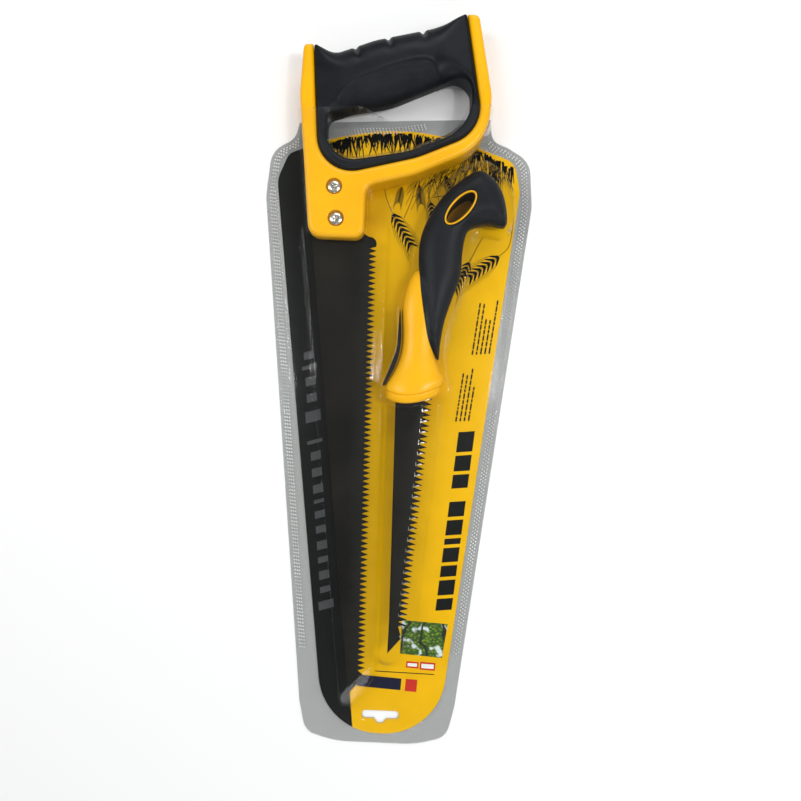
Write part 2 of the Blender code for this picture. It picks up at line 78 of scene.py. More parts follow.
# levels read from the frame
CARD_BOTTOM = low("backing_card", Z)
CARD_TOP = high("backing_card", Z)
SHEET = high("rear_shell", Z) - low("rear_shell", Z)
GAP = CARD_BOTTOM - SHEET
FLANGE_TOP = CARD_BOTTOM + SHEET
STEP_TOP = CARD_TOP + GAP + SHEET
BLADE_PLANE = (low("large_blade", Z) + high("large_blade", Z)) / 2
SMALL_POCKET_TOP = high("front_shell", Z)
HANDLE_POCKET_TOP = SMALL_POCKET_TOP - 1.1
BLADE_POCKET_TOP = BLADE_PLANE + 2.6
FRAME_HALF = half_depth("large_handle_frame")
GRIP_HALF = half_depth("large_handle_grip")
RING_HALF = FRAME_HALF + 0.5
SMALL_GRIP_HALF = half_depth("small_handle_grip")
LARGE_BLADE_HALF = half_depth("large_blade")
SMALL_BLADE_HALF = half_depth("small_blade")


# ---------------------------------------------------------------- outlines

def unit(vectors):
    """Vectors scaled to a length of one."""
    return vectors / np.maximum(np.linalg.norm(vectors, axis=-1, keepdims=True), 1e-9)


def anticlockwise(outline):
    """The outline in anticlockwise order, by the sign of its shoelace area."""
    ahead = np.roll(outline, -1, 0)
    area = (outline[:, 0] * ahead[:, 1] - ahead[:, 0] * outline[:, 1]).sum()
    return outline if area > 0 else outline[::-1]


def rounded(corners, steps=8):
    """Closed outline through corners (x, y, radius), each radius drawn as an arc.

    An arc's centre is on the corner's bisector at radius / sin(half the corner), and the arc turns
    through what the corner leaves of half a turn.
    """
    table = np.array(corners, float)
    if (table[:, :2] != anticlockwise(table[:, :2])).any():
        table = table[::-1]
    here, radius = table[:, :2], table[:, 2:]
    back = unit(np.roll(here, 1, 0) - here)
    ahead = unit(np.roll(here, -1, 0) - here)
    half = np.arccos(np.clip((back * ahead).sum(1, keepdims=True), -1, 1)) / 2
    outward = np.where(back[:, :1] * ahead[:, 1:] < back[:, 1:] * ahead[:, :1], 1, -1)
    centre = here + unit(back + ahead) * radius / np.sin(half)
    arm = here + back * radius / np.tan(half) - centre
    sweep = (np.pi - 2 * half) * outward * np.linspace(0, 1, steps + 1)
    x = centre[:, :1] + arm[:, :1] * np.cos(sweep) - arm[:, 1:] * np.sin(sweep)
    y = centre[:, 1:] + arm[:, :1] * np.sin(sweep) + arm[:, 1:] * np.cos(sweep)
    outline = np.stack([x.ravel(), y.ravel()], 1)
    return outline[np.linalg.norm(outline - np.roll(outline, 1, 0), axis=1) > 1e-4]


def stretches(a, b, c, d, steps):
    """Catmull-Rom cubics from every b to its c, set by the four points and sampled in equal steps."""
    a, b, c, d = a[:, None], b[:, None], c[:, None], d[:, None]
    t = np.linspace(0, 1, steps, endpoint=False)[:, None]
    curve = 2 * b + (c - a) * t + (2 * a - 5 * b + 4 * c - d) * t ** 2 + (3 * b - a - 3 * c + d) * t ** 3
    return curve.reshape(-1, curve.shape[-1]) / 2


def smooth(points, steps=6):
    """Closed smooth curve through points."""
    spots = np.array(points, float)
    return anticlockwise(stretches(*(np.roll(spots, shift, 0) for shift in (1, 0, -1, -2)), steps))


def open_curve(points, steps):
    """Smooth curve from the first point to the last, in any number of dimensions."""
    spots = np.array(points, float)
    spots = np.vstack([2 * spots[0] - spots[1], spots, 2 * spots[-1] - spots[-2]])
    return np.vstack([stretches(spots[:-3], spots[1:-2], spots[2:-1], spots[3:], steps), spots[-2]])


def ellipse(centre, radii, tilt, steps):
    """Ellipse whose long axis is turned by tilt from +X."""
    angle = np.linspace(0, 2 * np.pi, steps, endpoint=False)
    across, up = radii[0] * np.cos(angle), radii[1] * np.sin(angle)
    x = across * math.cos(tilt) - up * math.sin(tilt)
    y = across * math.sin(tilt) + up * math.cos(tilt)
    return np.stack([x, y], 1) + centre


def densified(outline, pitch):
    """The closed outline with extra points along each side, no further apart than the pitch."""
    ahead = np.roll(outline, -1, 0)
    counts = np.ceil(np.linalg.norm(ahead - outline, axis=1) / pitch).astype(int).clip(1)
    side = np.repeat(np.arange(len(outline)), counts)
    share = (np.arange(len(side)) - np.repeat(np.cumsum(counts) - counts, counts)) / counts[side]
    return outline[side] + (ahead - outline)[side] * share[:, None]


def shifted(outline, depth):
    """The outline moved inwards by depth: each point goes along the mean of its sides' normals."""
    ahead = unit(np.roll(outline, -1, 0) - outline)
    behind = np.roll(ahead, 1, 0)
    normal = unit(np.stack([-(ahead + behind)[:, 1], (ahead + behind)[:, 0]], 1))
    reach = (normal * np.stack([-ahead[:, 1], ahead[:, 0]], 1)).sum(1, keepdims=True).clip(0.6)
    return outline + normal * depth / reach


def distance(points, outline):
    """Distance of each point from a closed outline, positive inside.

    It is the shortest way to any side. A point is inside when a line from it to +X crosses an odd
    number of sides.
    """
    start, end = outline, np.roll(outline, -1, 0)
    side = end - start
    square = (side ** 2).sum(1)
    found = np.empty(len(points))
    for part in np.array_split(np.arange(len(points)), 1 + len(points) * len(outline) // 3000000):
        from_start = points[part, None] - start
        share = ((from_start * side).sum(-1) / square).clip(0, 1)
        shortest = np.linalg.norm(from_start - share[..., None] * side, axis=-1).min(1)
        x, y = points[part, None, 0], points[part, None, 1]
        spans = (start[:, 1] > y) != (end[:, 1] > y)
        meets = start[:, 0] + side[:, 0] * (y - start[:, 1]) / np.where(side[:, 1] == 0, 1, side[:, 1])
        inside = (spans & (x < meets)).sum(1) % 2 == 1
        found[part] = np.where(inside, shortest, -shortest)
    return found


def room(points, loops):
    """Distance of each point from the nearest side of an outline with holes, positive in the solid."""
    spaces = [distance(points, loops[0])] + [-distance(points, hole) for hole in loops[1:]]
    return np.minimum.reduce(spaces)


def step_up(value, start, end):
    """Smooth step from 0 at start to 1 at end: 3t² - 2t³."""
    t = np.clip((value - start) / (end - start), 0, 1)
    return t * t * (3 - 2 * t)


def bump(value, width):
    """Bell of height 1 at value 0, exp(-(value / width)²)."""
    return np.exp(-(value / width) ** 2)


# ---------------------------------------------------------------- meshes

def add_object(name, points, faces, turn=35):
    """Mesh object from points in millimetres, shaded smooth except at edges that turn more."""
    mesh = bpy.data.meshes.new(name)
    mesh.from_pydata((points * MM).tolist(), [], faces)
    mesh.validate()
    mesh.shade_smooth()
    mesh.set_sharp_from_angle(angle=math.radians(turn))
    thing = bpy.data.objects.new(name, mesh)
    bpy.context.scene.collection.objects.link(thing)
    return thing


def triangular_grid(outline, spacing):
    """Points over the outline's box in staggered rows."""
    start, end = outline.min(0), outline.max(0)
    x, y = np.meshgrid(np.arange(start[0], end[0], spacing), np.arange(start[1], end[1], spacing * 0.87))
    x[1::2] += spacing / 2
    return np.stack([x.ravel(), y.ravel()], 1)


def closed_sides(loops):
    """Pairs of point numbers along the sides of closed loops that follow one another."""
    sides, start = [], 0
    for loop in loops:
        number = np.arange(len(loop))
        sides.append(np.stack([number, np.roll(number, -1)], 1) + start)
        start += len(loop)
    return np.vstack(sides)


def flat_triangles(loops, extra, lines=()):
    """Points and anticlockwise triangles that fill the first loop but not the others.

    Every extra point and every open line is used: it is a constrained Delaunay triangulation, less
    the triangles whose centre is outside.
    """
    sides = closed_sides(loops)
    count = sum(len(loop) for loop in loops)
    for line in lines:
        number = np.arange(len(line) - 1)
        sides = np.vstack([sides, np.stack([number, number + 1], 1) + count])
        count += len(line)
    spots = np.vstack(list(loops) + list(lines) + [extra])
    points, _, faces, *_ = delaunay_2d_cdt(spots.tolist(), sides.tolist(), [], 0, 1e-5)
    points = np.array([tuple(point) for point in points])
    faces = np.array(faces)
    a, b, c = points[faces[:, 0]], points[faces[:, 1]], points[faces[:, 2]]
    turned_over = (b - a)[:, 0] * (c - a)[:, 1] < (b - a)[:, 1] * (c - a)[:, 0]
    faces[turned_over] = faces[turned_over][:, ::-1]
    return points, faces[room((a + b + c) / 3, loops) > 0]


def border(faces):
    """Sides that only one triangle has, each with its triangle on the left."""
    sides = np.vstack([faces[:, [0, 1]], faces[:, [1, 2]], faces[:, [2, 0]]])
    _, where, times = np.unique(np.sort(sides, 1), axis=0, return_index=True, return_counts=True)
    return sides[where[times == 1]]


def moulded(name, loops, top, bottom, depths, pitch, spacing, extra=(), lines=(), turn=35):
    """Closed solid over an outline with holes: top and bottom skins and a wall along every side.

    top and bottom give a skin's height from the points and their distance to the nearest side. Rows
    of points at the given depths follow each side. Staggered rows of points fill the middle, and
    give way to the extra points.
    """
    loops = [densified(loop, pitch) for loop in loops]
    rows = []
    for number, loop in enumerate(loops):
        for depth in depths:
            row = shifted(loop, depth if number == 0 else -depth)
            rows.append(row[room(row, loops) > 0.93 * depth])
    fill = triangular_grid(loops[0], spacing)
    for added in extra:
        crowd = np.abs(fill[:, None] - added[None, ::2]).max(-1)
        fill = fill[(crowd > spacing * 0.4).all(1)]
    fill = fill[room(fill, loops) > max(depths, default=0) + spacing * 0.35]
    inner = [added[room(added, loops) > 0.05] for added in extra]
    flat, faces = flat_triangles(loops, np.vstack(rows + [fill] + inner), lines)
    space = room(flat, loops).clip(0)
    upper = np.column_stack([flat, top(flat, space)])
    lower = np.column_stack([flat, bottom(flat, space)])
    sides = border(faces)
    count = len(flat)
    walls = np.column_stack([sides[:, 0], sides[:, 0] + count, sides[:, 1] + count, sides[:, 1]])
    skins = np.vstack([faces, faces[:, ::-1] + count])
    return add_object(name, np.vstack([upper, lower]), skins.tolist() + walls.tolist(), turn)


def both_faces(half, plane=lambda points: BLADE_PLANE):
    """Top and bottom skins that lie the half thickness above and below a middle plane."""
    return (lambda points, space: plane(points) + half(points, space),
            lambda points, space: plane(points) - half(points, space))


def level_face(height):
    """A skin that lies level at a height."""
    return lambda points, space: np.full(len(points), height)


def edge_rows(radius):
    """Six depths at which a rounded edge of this radius is sampled: radius (1 - cos angle)."""
    return tuple(radius * (1 - math.cos(math.pi / 12 * step)) for step in range(1, 7))


def rounding(space, reach, rise):
    """Height given away near an edge: rise (1 - sqrt(1 - (1 - space / reach)²)), none past reach."""
    t = 1 - np.clip(space / reach, 0, 1)
    return rise * (1 - np.sqrt(1 - t * t))


def swept(name, rings):
    """Closed skin through rings of equal numbers of points, with a point in the middle of each end."""
    rings = np.array(rings)
    count, around = rings.shape[:2]
    grid = np.arange(count * around).reshape(count, around)
    ahead = np.roll(grid, -1, 1)
    quads = np.stack([grid[:-1], ahead[:-1], ahead[1:], grid[1:]], -1).reshape(-1, 4)
    points = np.vstack([rings.reshape(-1, 3), rings[0].mean(0), rings[-1].mean(0)])
    first, last = count * around, count * around + 1
    start = np.column_stack([ahead[0], grid[0], np.full(around, first)])
    end = np.column_stack([grid[-1], ahead[-1], np.full(around, last)])
    return add_object(name, points, quads.tolist() + start.tolist() + end.tolist(), 40)


def many(name, shape, faces, centres, turn):
    """One mesh of many equal small solids: shape's points are moved to every centre."""
    points = (centres[:, None] + shape[None]).reshape(-1, 3)
    start = np.arange(len(centres)) * len(shape)
    copies = [(np.array(face) + start[:, None]).tolist() for face in faces]
    return add_object(name, points, [face for group in copies for face in group], turn)


INK_THICKNESS = 0.05
STROKE_FACES = np.array([(0, 1, 2, 3), (7, 6, 5, 4), (0, 4, 5, 1), (1, 5, 6, 2), (2, 6, 7, 3), (3, 7, 4, 0)])


def strokes(name, starts, ends, start_widths, end_widths, base, slant=0.0):
    """Thin flat bars of ink from starts to ends, each with its own width at either end.

    A slant moves one long side ahead of the other by that share of the width.
    """
    starts, ends = np.array(starts, float), np.array(ends, float)
    along = unit(ends - starts)
    across = np.stack([-along[:, 1], along[:, 0]], 1) + slant * along
    near = across * np.broadcast_to(start_widths, len(starts))[:, None] / 2
    far = across * np.broadcast_to(end_widths, len(starts))[:, None] / 2
    corners = np.stack([starts - near, ends - far, ends + far, starts + near], 1)
    over = np.concatenate([corners, np.full(corners.shape[:2] + (1,), base + INK_THICKNESS)], 2)
    under = np.concatenate([corners, np.full(corners.shape[:2] + (1,), base)], 2)
    points = np.concatenate([over, under], 1).reshape(-1, 3)
    faces = (STROKE_FACES[None] + (np.arange(len(starts)) * 8)[:, None, None]).reshape(-1, 4)
    return add_object(name, points, faces.tolist(), 30)


def joined(name, pieces):
    """One object from several, made by joining their meshes."""
    with bpy.context.temp_override(active_object=pieces[0], selected_editable_objects=pieces):
        bpy.ops.object.join()
    pieces[0].name = name
    pieces[0].data.name = name
    return pieces[0]


def dress(thing, slot, *finishes, stands_for=()):
    """Gives a piece its finishes, and makes it ride and stand for CAD nodes; the slot is not used."""
    thing.data.materials.clear()
    for made in finishes:
        thing.data.materials.append(made)
    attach(thing, BODY)
    if stands_for:
        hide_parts(*stands_for)


def repaint(thing, test, index):
    """Sets a finish's number on the faces whose centres (in millimetres) and normals pass the test."""
    count = len(thing.data.polygons)
    centres, normals = np.empty(count * 3), np.empty(count * 3)
    thing.data.polygons.foreach_get("center", centres)
    thing.data.polygons.foreach_get("normal", normals)
    numbers = np.empty(count, np.int32)
    thing.data.polygons.foreach_get("material_index", numbers)
    numbers[test(centres.reshape(-1, 3) / MM, normals.reshape(-1, 3))] = index
    thing.data.polygons.foreach_set("material_index", numbers)


def paint(thing, name, amount):
    """Stores a share from 0 to 1 at every point of a piece, worked out from its place in millimetres."""
    places = np.empty(len(thing.data.vertices) * 3)
    thing.data.vertices.foreach_get("co", places)
    layer = thing.data.attributes.new(name, "FLOAT", "POINT")
    layer.data.foreach_set("value", amount(places.reshape(-1, 3) / MM).astype(np.float32))


# ---------------------------------------------------------------- finishes

def node(tree, kind, inputs=None, **settings):
    """New shader node with its settings and inputs; an input that is a socket is linked."""
    made = tree.nodes.new(kind)
    for key, value in settings.items():
        setattr(made, key, value)
    for key, value in (inputs or {}).items():
        if isinstance(value, bpy.types.NodeSocket):
            tree.links.new(value, made.inputs[key])
        else:
            made.inputs[key].default_value = value
    return made


def place(tree, stretch=(1, 1, 1)):
    """The piece's own coordinates in metres, stretched along each axis."""
    spot = node(tree, "ShaderNodeTexCoord").outputs["Object"]
    return node(tree, "ShaderNodeMapping", {"Vector": spot, "Scale": stretch}).outputs["Vector"]


def noise(tree, size, stretch=(1, 1, 1), detail=3.0, rough=0.55):
    """Cloudy pattern whose lumps are about size millimetres across."""
    made = node(tree, "ShaderNodeTexNoise", {"Vector": place(tree, stretch), "Scale": 1000 / size,
                                             "Detail": detail, "Roughness": rough})
    return made.outputs["Fac"]


def ranged(tree, value, start, end, low_value=0.0, high_value=1.0):
    """Value carried from the range start to end onto another range."""
    made = node(tree, "ShaderNodeMapRange", {"Value": value, "From Min": start, "From Max": end,
                                             "To Min": low_value, "To Max": high_value})
    return made.outputs["Result"]


def blended(tree, share, first, second):
    """Colour between two colours."""
    return node(tree, "ShaderNodeMix", {0: share, 6: first, 7: second}, data_type="RGBA").outputs[2]


def math_node(tree, operation, first, second):
    """One arithmetic step on two values."""
    return node(tree, "ShaderNodeMath", {0: first, 1: second}, operation=operation).outputs[0]


def bumped(tree, height, depth, strength=1.0, under=None):
    """Bump of the given depth in millimetres."""
    inputs = {"Height": height, "Distance": depth * MM, "Strength": strength}
    if under is not None:
        inputs["Normal"] = under
    return node(tree, "ShaderNodeBump", inputs).outputs["Normal"]


def new_finish(name, **sockets):
    """New Principled material; sockets are given by name with underscores for spaces."""
    made = bpy.data.materials.new(name)
    made.use_nodes = True
    shader = made.node_tree.nodes["Principled BSDF"]
    for key, value in sockets.items():
        shader.inputs[key.replace("_", " ")].default_value = value
    return made, made.node_tree, shader


def feed(tree, shader, **sources):
    """Links sources to the shader's sockets."""
    for key, source in sources.items():
        tree.links.new(source, shader.inputs[key.replace("_", " ")])


def yellow_moulding():
    """Glossy moulded plastic: faint flow clouds, a little orange peel and fine handling scuffs."""
    made, tree, shader = new_finish("yellow_moulding", IOR=1.5, Specular_IOR_Level=0.22, Coat_Weight=0.06,
                                      Coat_Roughness=0.12)
    clouds = ranged(tree, noise(tree, 28), 0.35, 0.65)
    colour = blended(tree, clouds, (0.87, 0.42, 0.001, 1), (0.91, 0.46, 0.001, 1))
    scuffs = ranged(tree, noise(tree, 3, (1, 0.15, 1), 5, 0.7), 0.45, 0.75, 0.28, 0.42)
    peel = bumped(tree, noise(tree, 0.9, detail=2), 0.035, 0.5)
    feed(tree, shader, Base_Color=colour, Roughness=scuffs, Normal=peel)
    return made


def black_overmould():
    """Soft rubber: satin, with a fine all-over grain that is coarser where the grain share is 1."""
    made, tree, shader = new_finish("black_overmould", IOR=1.48, Specular_IOR_Level=0.16)
    clouds = ranged(tree, noise(tree, 14), 0.3, 0.7)
    colour = blended(tree, clouds, (0.004, 0.005, 0.007, 1), (0.008, 0.010, 0.013, 1))
    share = node(tree, "ShaderNodeAttribute", attribute_name="grain").outputs["Fac"]
    fine = bumped(tree, noise(tree, 0.35, detail=2), 0.02, 0.3)
    pebbles = node(tree, "ShaderNodeTexVoronoi", {"Vector": place(tree), "Scale": 1300.0}).outputs["Distance"]
    coarse = bumped(tree, math_node(tree, "MULTIPLY", pebbles, share), 0.3, 1.0, fine)
    feed(tree, shader, Base_Color=colour, Roughness=ranged(tree, clouds, 0, 1, 0.36, 0.46), Normal=coarse)
    return made


def coated_steel():
    """Dark low-stick coating on steel: brownish clouds, faint lengthwise streaks and tiny specks."""
    made, tree, shader = new_finish("coated_steel", IOR=1.5, Specular_IOR_Level=0.1)
    clouds = ranged(tree, noise(tree, 45, detail=4), 0.38, 0.66)
    base = blended(tree, clouds, (0.004, 0.0037, 0.0025, 1), (0.010, 0.0085, 0.0055, 1))
    band = node(tree, "ShaderNodeAttribute", attribute_name="ground_band").outputs["Fac"]
    toned = blended(tree, band, base, (0.010, 0.010, 0.008, 1))
    specks = ranged(tree, noise(tree, 0.5, detail=1), 0.74, 0.78)
    colour = blended(tree, math_node(tree, "MULTIPLY", specks, 0.35), toned, (0.16, 0.15, 0.13, 1))
    streaks = noise(tree, 0.8, (1, 0.03, 1), 3, 0.6)
    dulled = ranged(tree, clouds, 0, 1, 0.40, 0.50)
    gloss = math_node(tree, "ADD", dulled, ranged(tree, streaks, 0.3, 0.7, -0.04, 0.04))
    feed(tree, shader, Base_Color=colour, Roughness=gloss, Normal=bumped(tree, streaks, 0.02, 0.5))
    return made


def bright_steel():
    """Plated steel: clean metal with light swirl marks and slightly dulled patches."""
    made, tree, shader = new_finish("bright_steel", Metallic=1.0)
    patches = ranged(tree, noise(tree, 2.2, detail=4), 0.35, 0.7)
    colour = blended(tree, patches, (0.66, 0.65, 0.60, 1), (0.48, 0.46, 0.41, 1))
    marks = noise(tree, 0.25, (1, 1, 0.2), 3)
    feed(tree, shader, Base_Color=colour, Roughness=ranged(tree, patches, 0, 1, 0.2, 0.34),
         Normal=bumped(tree, marks, 0.02, 0.5))
    return made


def clear_sheet(name, haze, tint):
    """Clear sheet: see-through, with the gloss of its surface and a little haze.

    The share that mirrors is 0.008 where the sheet faces the eye and grows with the fifth power of
    one less the cosine of the angle it turns away. The haze is a plain milky share on top.
    """
    made, tree, shader = new_finish(name, Base_Color=(0.9, 0.9, 0.9, 1), Roughness=0.07, Metallic=1.0)
    output = tree.nodes["Material Output"]
    ripple = bumped(tree, noise(tree, 16, detail=1), 0.3, 0.2)
    feed(tree, shader, Normal=ripple)
    away = node(tree, "ShaderNodeLayerWeight", {"Blend": 0.5, "Normal": ripple}).outputs["Facing"]
    gloss = math_node(tree, "MULTIPLY_ADD", math_node(tree, "POWER", away, 5.0), 0.55)
    gloss.node.inputs[2].default_value = 0.008
    through = node(tree, "ShaderNodeBsdfTransparent", {"Color": tint}).outputs[0]
    milk = node(tree, "ShaderNodeBsdfDiffuse", {"Color": (0.8, 0.81, 0.8, 1)}).outputs[0]
    clouds = ranged(tree, noise(tree, 30, detail=3), 0.3, 0.7, 0.6 * haze, 1.4 * haze)
    cloudy = node(tree, "ShaderNodeMixShader", {0: clouds, 1: through, 2: milk}).outputs[0]
    mixed = node(tree, "ShaderNodeMixShader", {0: gloss, 1: cloudy, 2: shader.outputs[0]}).outputs[0]
    tree.links.new(mixed, output.inputs["Surface"])
    return made


def ink(name, colour):
    """Printed ink: a coated board's fine tooth, with slight unevenness in the colour."""
    made, tree, shader = new_finish(name, IOR=1.5, Specular_IOR_Level=0.1)
    paler = tuple(min(1.0, part * 1.12 + 0.001) for part in colour)
    uneven = ranged(tree, noise(tree, 20, detail=4), 0.3, 0.7)
    tooth = noise(tree, 0.3, detail=2)
    feed(tree, shader, Base_Color=blended(tree, uneven, (*colour, 1), (*paler, 1)),
         Roughness=ranged(tree, tooth, 0.3, 0.7, 0.27, 0.40),
         Normal=bumped(tree, tooth, 0.01, 0.5))
    return made


def board():
    """Uncoated grey back of the card, with pressed fibres."""
    made, tree, shader = new_finish("card_board", Roughness=0.85)
    fibres = noise(tree, 1.2, (1, 0.35, 1), 5, 0.7)
    colour = blended(tree, ranged(tree, fibres, 0.35, 0.7), (0.46, 0.44, 0.40, 1), (0.60, 0.58, 0.54, 1))
    feed(tree, shader, Base_Color=colour, Normal=bumped(tree, fibres, 0.04, 0.5))
    return made


def foliage_print():
    """Printed patch of leaves: light and dark greens, pale sky between them and a few branches."""
    made, tree, shader = new_finish("foliage_print", Roughness=0.32, IOR=1.5)
    leaves = node(tree, "ShaderNodeTexVoronoi", {"Vector": place(tree, (1, 1.4, 1)), "Scale": 420.0})
    greens = blended(tree, ranged(tree, leaves.outputs["Distance"], 0.05, 0.55), (0.22, 0.36, 0.02, 1),
                     (0.03, 0.08, 0.005, 1))
    sky = ranged(tree, noise(tree, 9, detail=2), 0.56, 0.62)
    with_sky = blended(tree, sky, greens, (0.62, 0.72, 0.70, 1))
    limbs = node(tree, "ShaderNodeTexWave", {"Vector": place(tree), "Scale": 26.0, "Distortion": 5.0,
                                             "Detail": 2.0, "Detail Scale": 2.0}, bands_direction="X")
    dark = ranged(tree, limbs.outputs["Fac"], 0.93, 0.97)
    feed(tree, shader, Base_Color=blended(tree, dark, with_sky, (0.012, 0.016, 0.006, 1)))
    return made


def floor_finish():
    """Plain pale floor."""
    made, tree, shader = new_finish("pale_floor", Roughness=0.6)
    colour = blended(tree, noise(tree, 400), (0.86, 0.86, 0.86, 1), (0.88, 0.88, 0.88, 1))
    feed(tree, shader, Base_Color=colour)
    return made


YELLOW = yellow_moulding()
BLACK = black_overmould()
COATED = coated_steel()
BRIGHT = bright_steel()
FRONT_CLEAR = clear_sheet("front_clear", 0.002, (0.99, 0.992, 0.992, 1))
# The rear sheet's grey tint is much darker than clear plastic: it is painted shade, standing in for the
# shaded floor seen through the flange.
SHADE_TINTED_REAR_CLEAR = clear_sheet("rear_clear_with_painted_shade", 0.03, (0.81, 0.815, 0.81, 1))
WELD_CLEAR = clear_sheet("weld_clear", 0.85, (0.97, 0.97, 0.97, 1))
YELLOW_INK = ink("yellow_ink", (0.74, 0.415, 0.0))
BLACK_INK = ink("black_ink", (0.005, 0.006, 0.005))
GREY_INK = ink("grey_ink", (0.060, 0.062, 0.064))
RED_INK = ink("red_ink", (0.50, 0.03, 0.015))
WHITE_INK = ink("white_ink", (0.75, 0.75, 0.72))
NAVY_INK = ink("navy_ink", (0.008, 0.010, 0.028))
BOARD = board()


# ---------------------------------------------------------------- shapes of the pieces

PACK_SIDE = ((27.0, -212.8, 60), (48.6, -207.0, 12), (53.4, -186.0, 30), (91.6, 160.0, 30),
             (89.0, 191.5, 16), (73.0, 200.5, 12))
PACK = rounded(list(PACK_SIDE) + [(62.0, 204.5, 9), (60.8, 219.5, 1), (-70.8, 211.5, 1)]
               + [(-x, y, radius) for x, y, radius in reversed(PACK_SIDE)])
CARD_TOP_RADIUS = 151.0
CARD_TOP_CREST = 208.7
ARCH = [(x, CARD_TOP_CREST - x * x / (2 * CARD_TOP_RADIUS), 0) for x in range(60, -61, -10)]
CARD = rounded([(-36.1, -206.2, 42), (42.3, -206.2, 42), (82.9, 170, 22), (78.5, 190.5, 12)] + ARCH
               + [(-77.0, 190.0, 8), (-84.2, 172, 20)], 14)
HANG_SLOT = rounded([(-10.0, -190.4, 2.4), (-10.0, -195.7, 2.4), (-1.6, -195.7, 1), (0.6, -198.8, 2),
                     (4.8, -198.8, 2), (7.0, -195.7, 1), (15.4, -195.7, 2.4), (15.4, -190.4, 2.4)])
STRIPE_EDGE = np.array([(-61.0, 204.0), (-60.5, 189.8), (-59.0, 162.5), (-56.0, 131.3), (-18.5, -181.9),
                        (-16.2, -202.0), (-15.6, -208.0)])

HANDLE_OUTER = [(-58.2, 128.8, 8.5), (-21.7, 128.8, 7), (-21.7, 163.3, 8), (10, 172, 60),
                (56.5, 193.5, 36), (58.6, 226, 40), (47.9, 279.2, 4)]
HANDLE_INNER = [(40.0, 279.0, 0.6), (54.0, 203.0, 25), (11, 183.7, 60), (-53.2, 166.8, 23)]
HANDLE_BACK = [(-66.9, 255.2, 3), (-68.0, 222, 60)]
FRAME = rounded(HANDLE_OUTER + HANDLE_INNER + [(-60.4, 255.2, 0.6)] + HANDLE_BACK, 12)
HANDLE_SOLID = rounded(HANDLE_OUTER + HANDLE_BACK, 12)
FRAME_EDGE = 3.2
OVERMOULD = rounded([(39.5, 279.4, 1.5), (53.6, 203.6, 24.7), (11, 184.1, 60), (-52.8, 167.3, 22.7),
                     (-60.1, 256.0, 1.5), (-47, 251.3, 14), (-20, 261.8, 60), (27, 273.2, 30)], 12)
HAND_HOLE = rounded([(-50.3, 176.4, 18.5), (5, 187.1, 60), (46.5, 204.5, 29), (44.2, 242.8, 9.5),
                     (-8, 219, 60), (-49.3, 210.9, 5)], 12)
GRIP_CENTRE = np.array((-6.0, 240.5))
GRIP_SLOPE = math.radians(17)
FINGER_NOTCHES = np.array([(-32.9, 255.6), (-11.6, 262.9), (10.9, 269.2)])
NOTCH_LENGTH = 8.5
LIP_RISE = 0.5
INSET = smooth([(-35.6, 228.0), (-30.6, 232.4), (-12.2, 240.5), (3.2, 245.8), (13.6, 247.3), (18.8, 245.5),
                (22.2, 241.0), (23.0, 233.7), (19.6, 227.3), (-0.7, 217.0), (-21.3, 211.9), (-38.0, 211.2),
                (-41.3, 216.3), (-40.6, 222.6)])

LARGE_TEETH = np.array([(-13.6, 124.5), (-9.1, -159.8)])
SMALL_TEETH = np.array([(28.3, 27.0), (17.0, -132.0)])
TOOTH_PITCH = 3.63
LARGE_TOOTH_DEPTH = 4.4
SMALL_TOOTH_DEPTH = 5.0
TOOTH_BEVEL = 0.9
TOOTH_SET = 0.42

SMALL_GRIP = smooth([(31.0, 51.5), (28.2, 54.5), (25.0, 60.5), (22.8, 67.0), (20.7, 77.1), (18.3, 90.0),
                     (16.5, 103.1), (15.0, 125.5), (19.1, 142.7), (29.3, 160.2), (42.0, 172.3), (50.5, 177.8),
                     (56.5, 177.7), (65.1, 170.6), (70.2, 160.9), (72.7, 148.5), (72.0, 142.6), (67.8, 142.1),
                     (60.5, 143.2), (52.5, 141.6), (46.6, 137.5), (44.1, 125.1), (43.2, 107.5), (38.2, 91.6),
                     (33.9, 76.6), (31.9, 62.0), (31.6, 55.0)])
HANG_HOLE = np.array((41.0, 151.3))
HANG_HOLE_RADII = (12.9, 5.1)
HANG_HOLE_TILT = math.radians(50)
RIM_WIDTH = 1.3
# stations of the small handle's flare: y, left, right, half depth
FLARE = open_curve([(21.6, -3.0, 33.0, 11.2), (25.6, -3.4, 34.0, 12.1), (30.0, -3.6, 35.2, 12.4),
                    (34.0, -2.2, 34.7, 12.2), (40.0, 0.6, 32.8, 11.4), (47.0, 3.6, 31.0, 10.6),
                    (56.0, 6.0, 28.4, 10.0), (68.0, 6.4, 28.0, 9.6), (82.0, 5.4, 30.0, 9.2),
                    (95.0, 6.8, 33.0, 8.8), (105.0, 10.0, 33.0, 7.0), (110.0, 13.5, 28.0, 3.5)], 8)
FLARE_POWER = 2.35
COLLAR_GROOVE = 26.9
COLLAR_LOW = 9.0
SIDE_STRIP = smooth([(4.2, 84.0), (5.6, 70.0), (5.2, 58.0), (2.4, 46.5), (-2.9, 35.4), (-4.4, 33.0),
                     (-5.0, 34.4), (-0.6, 46.2), (2.9, 58.0), (3.6, 70.0)])
STRIP_HALF = 6.5

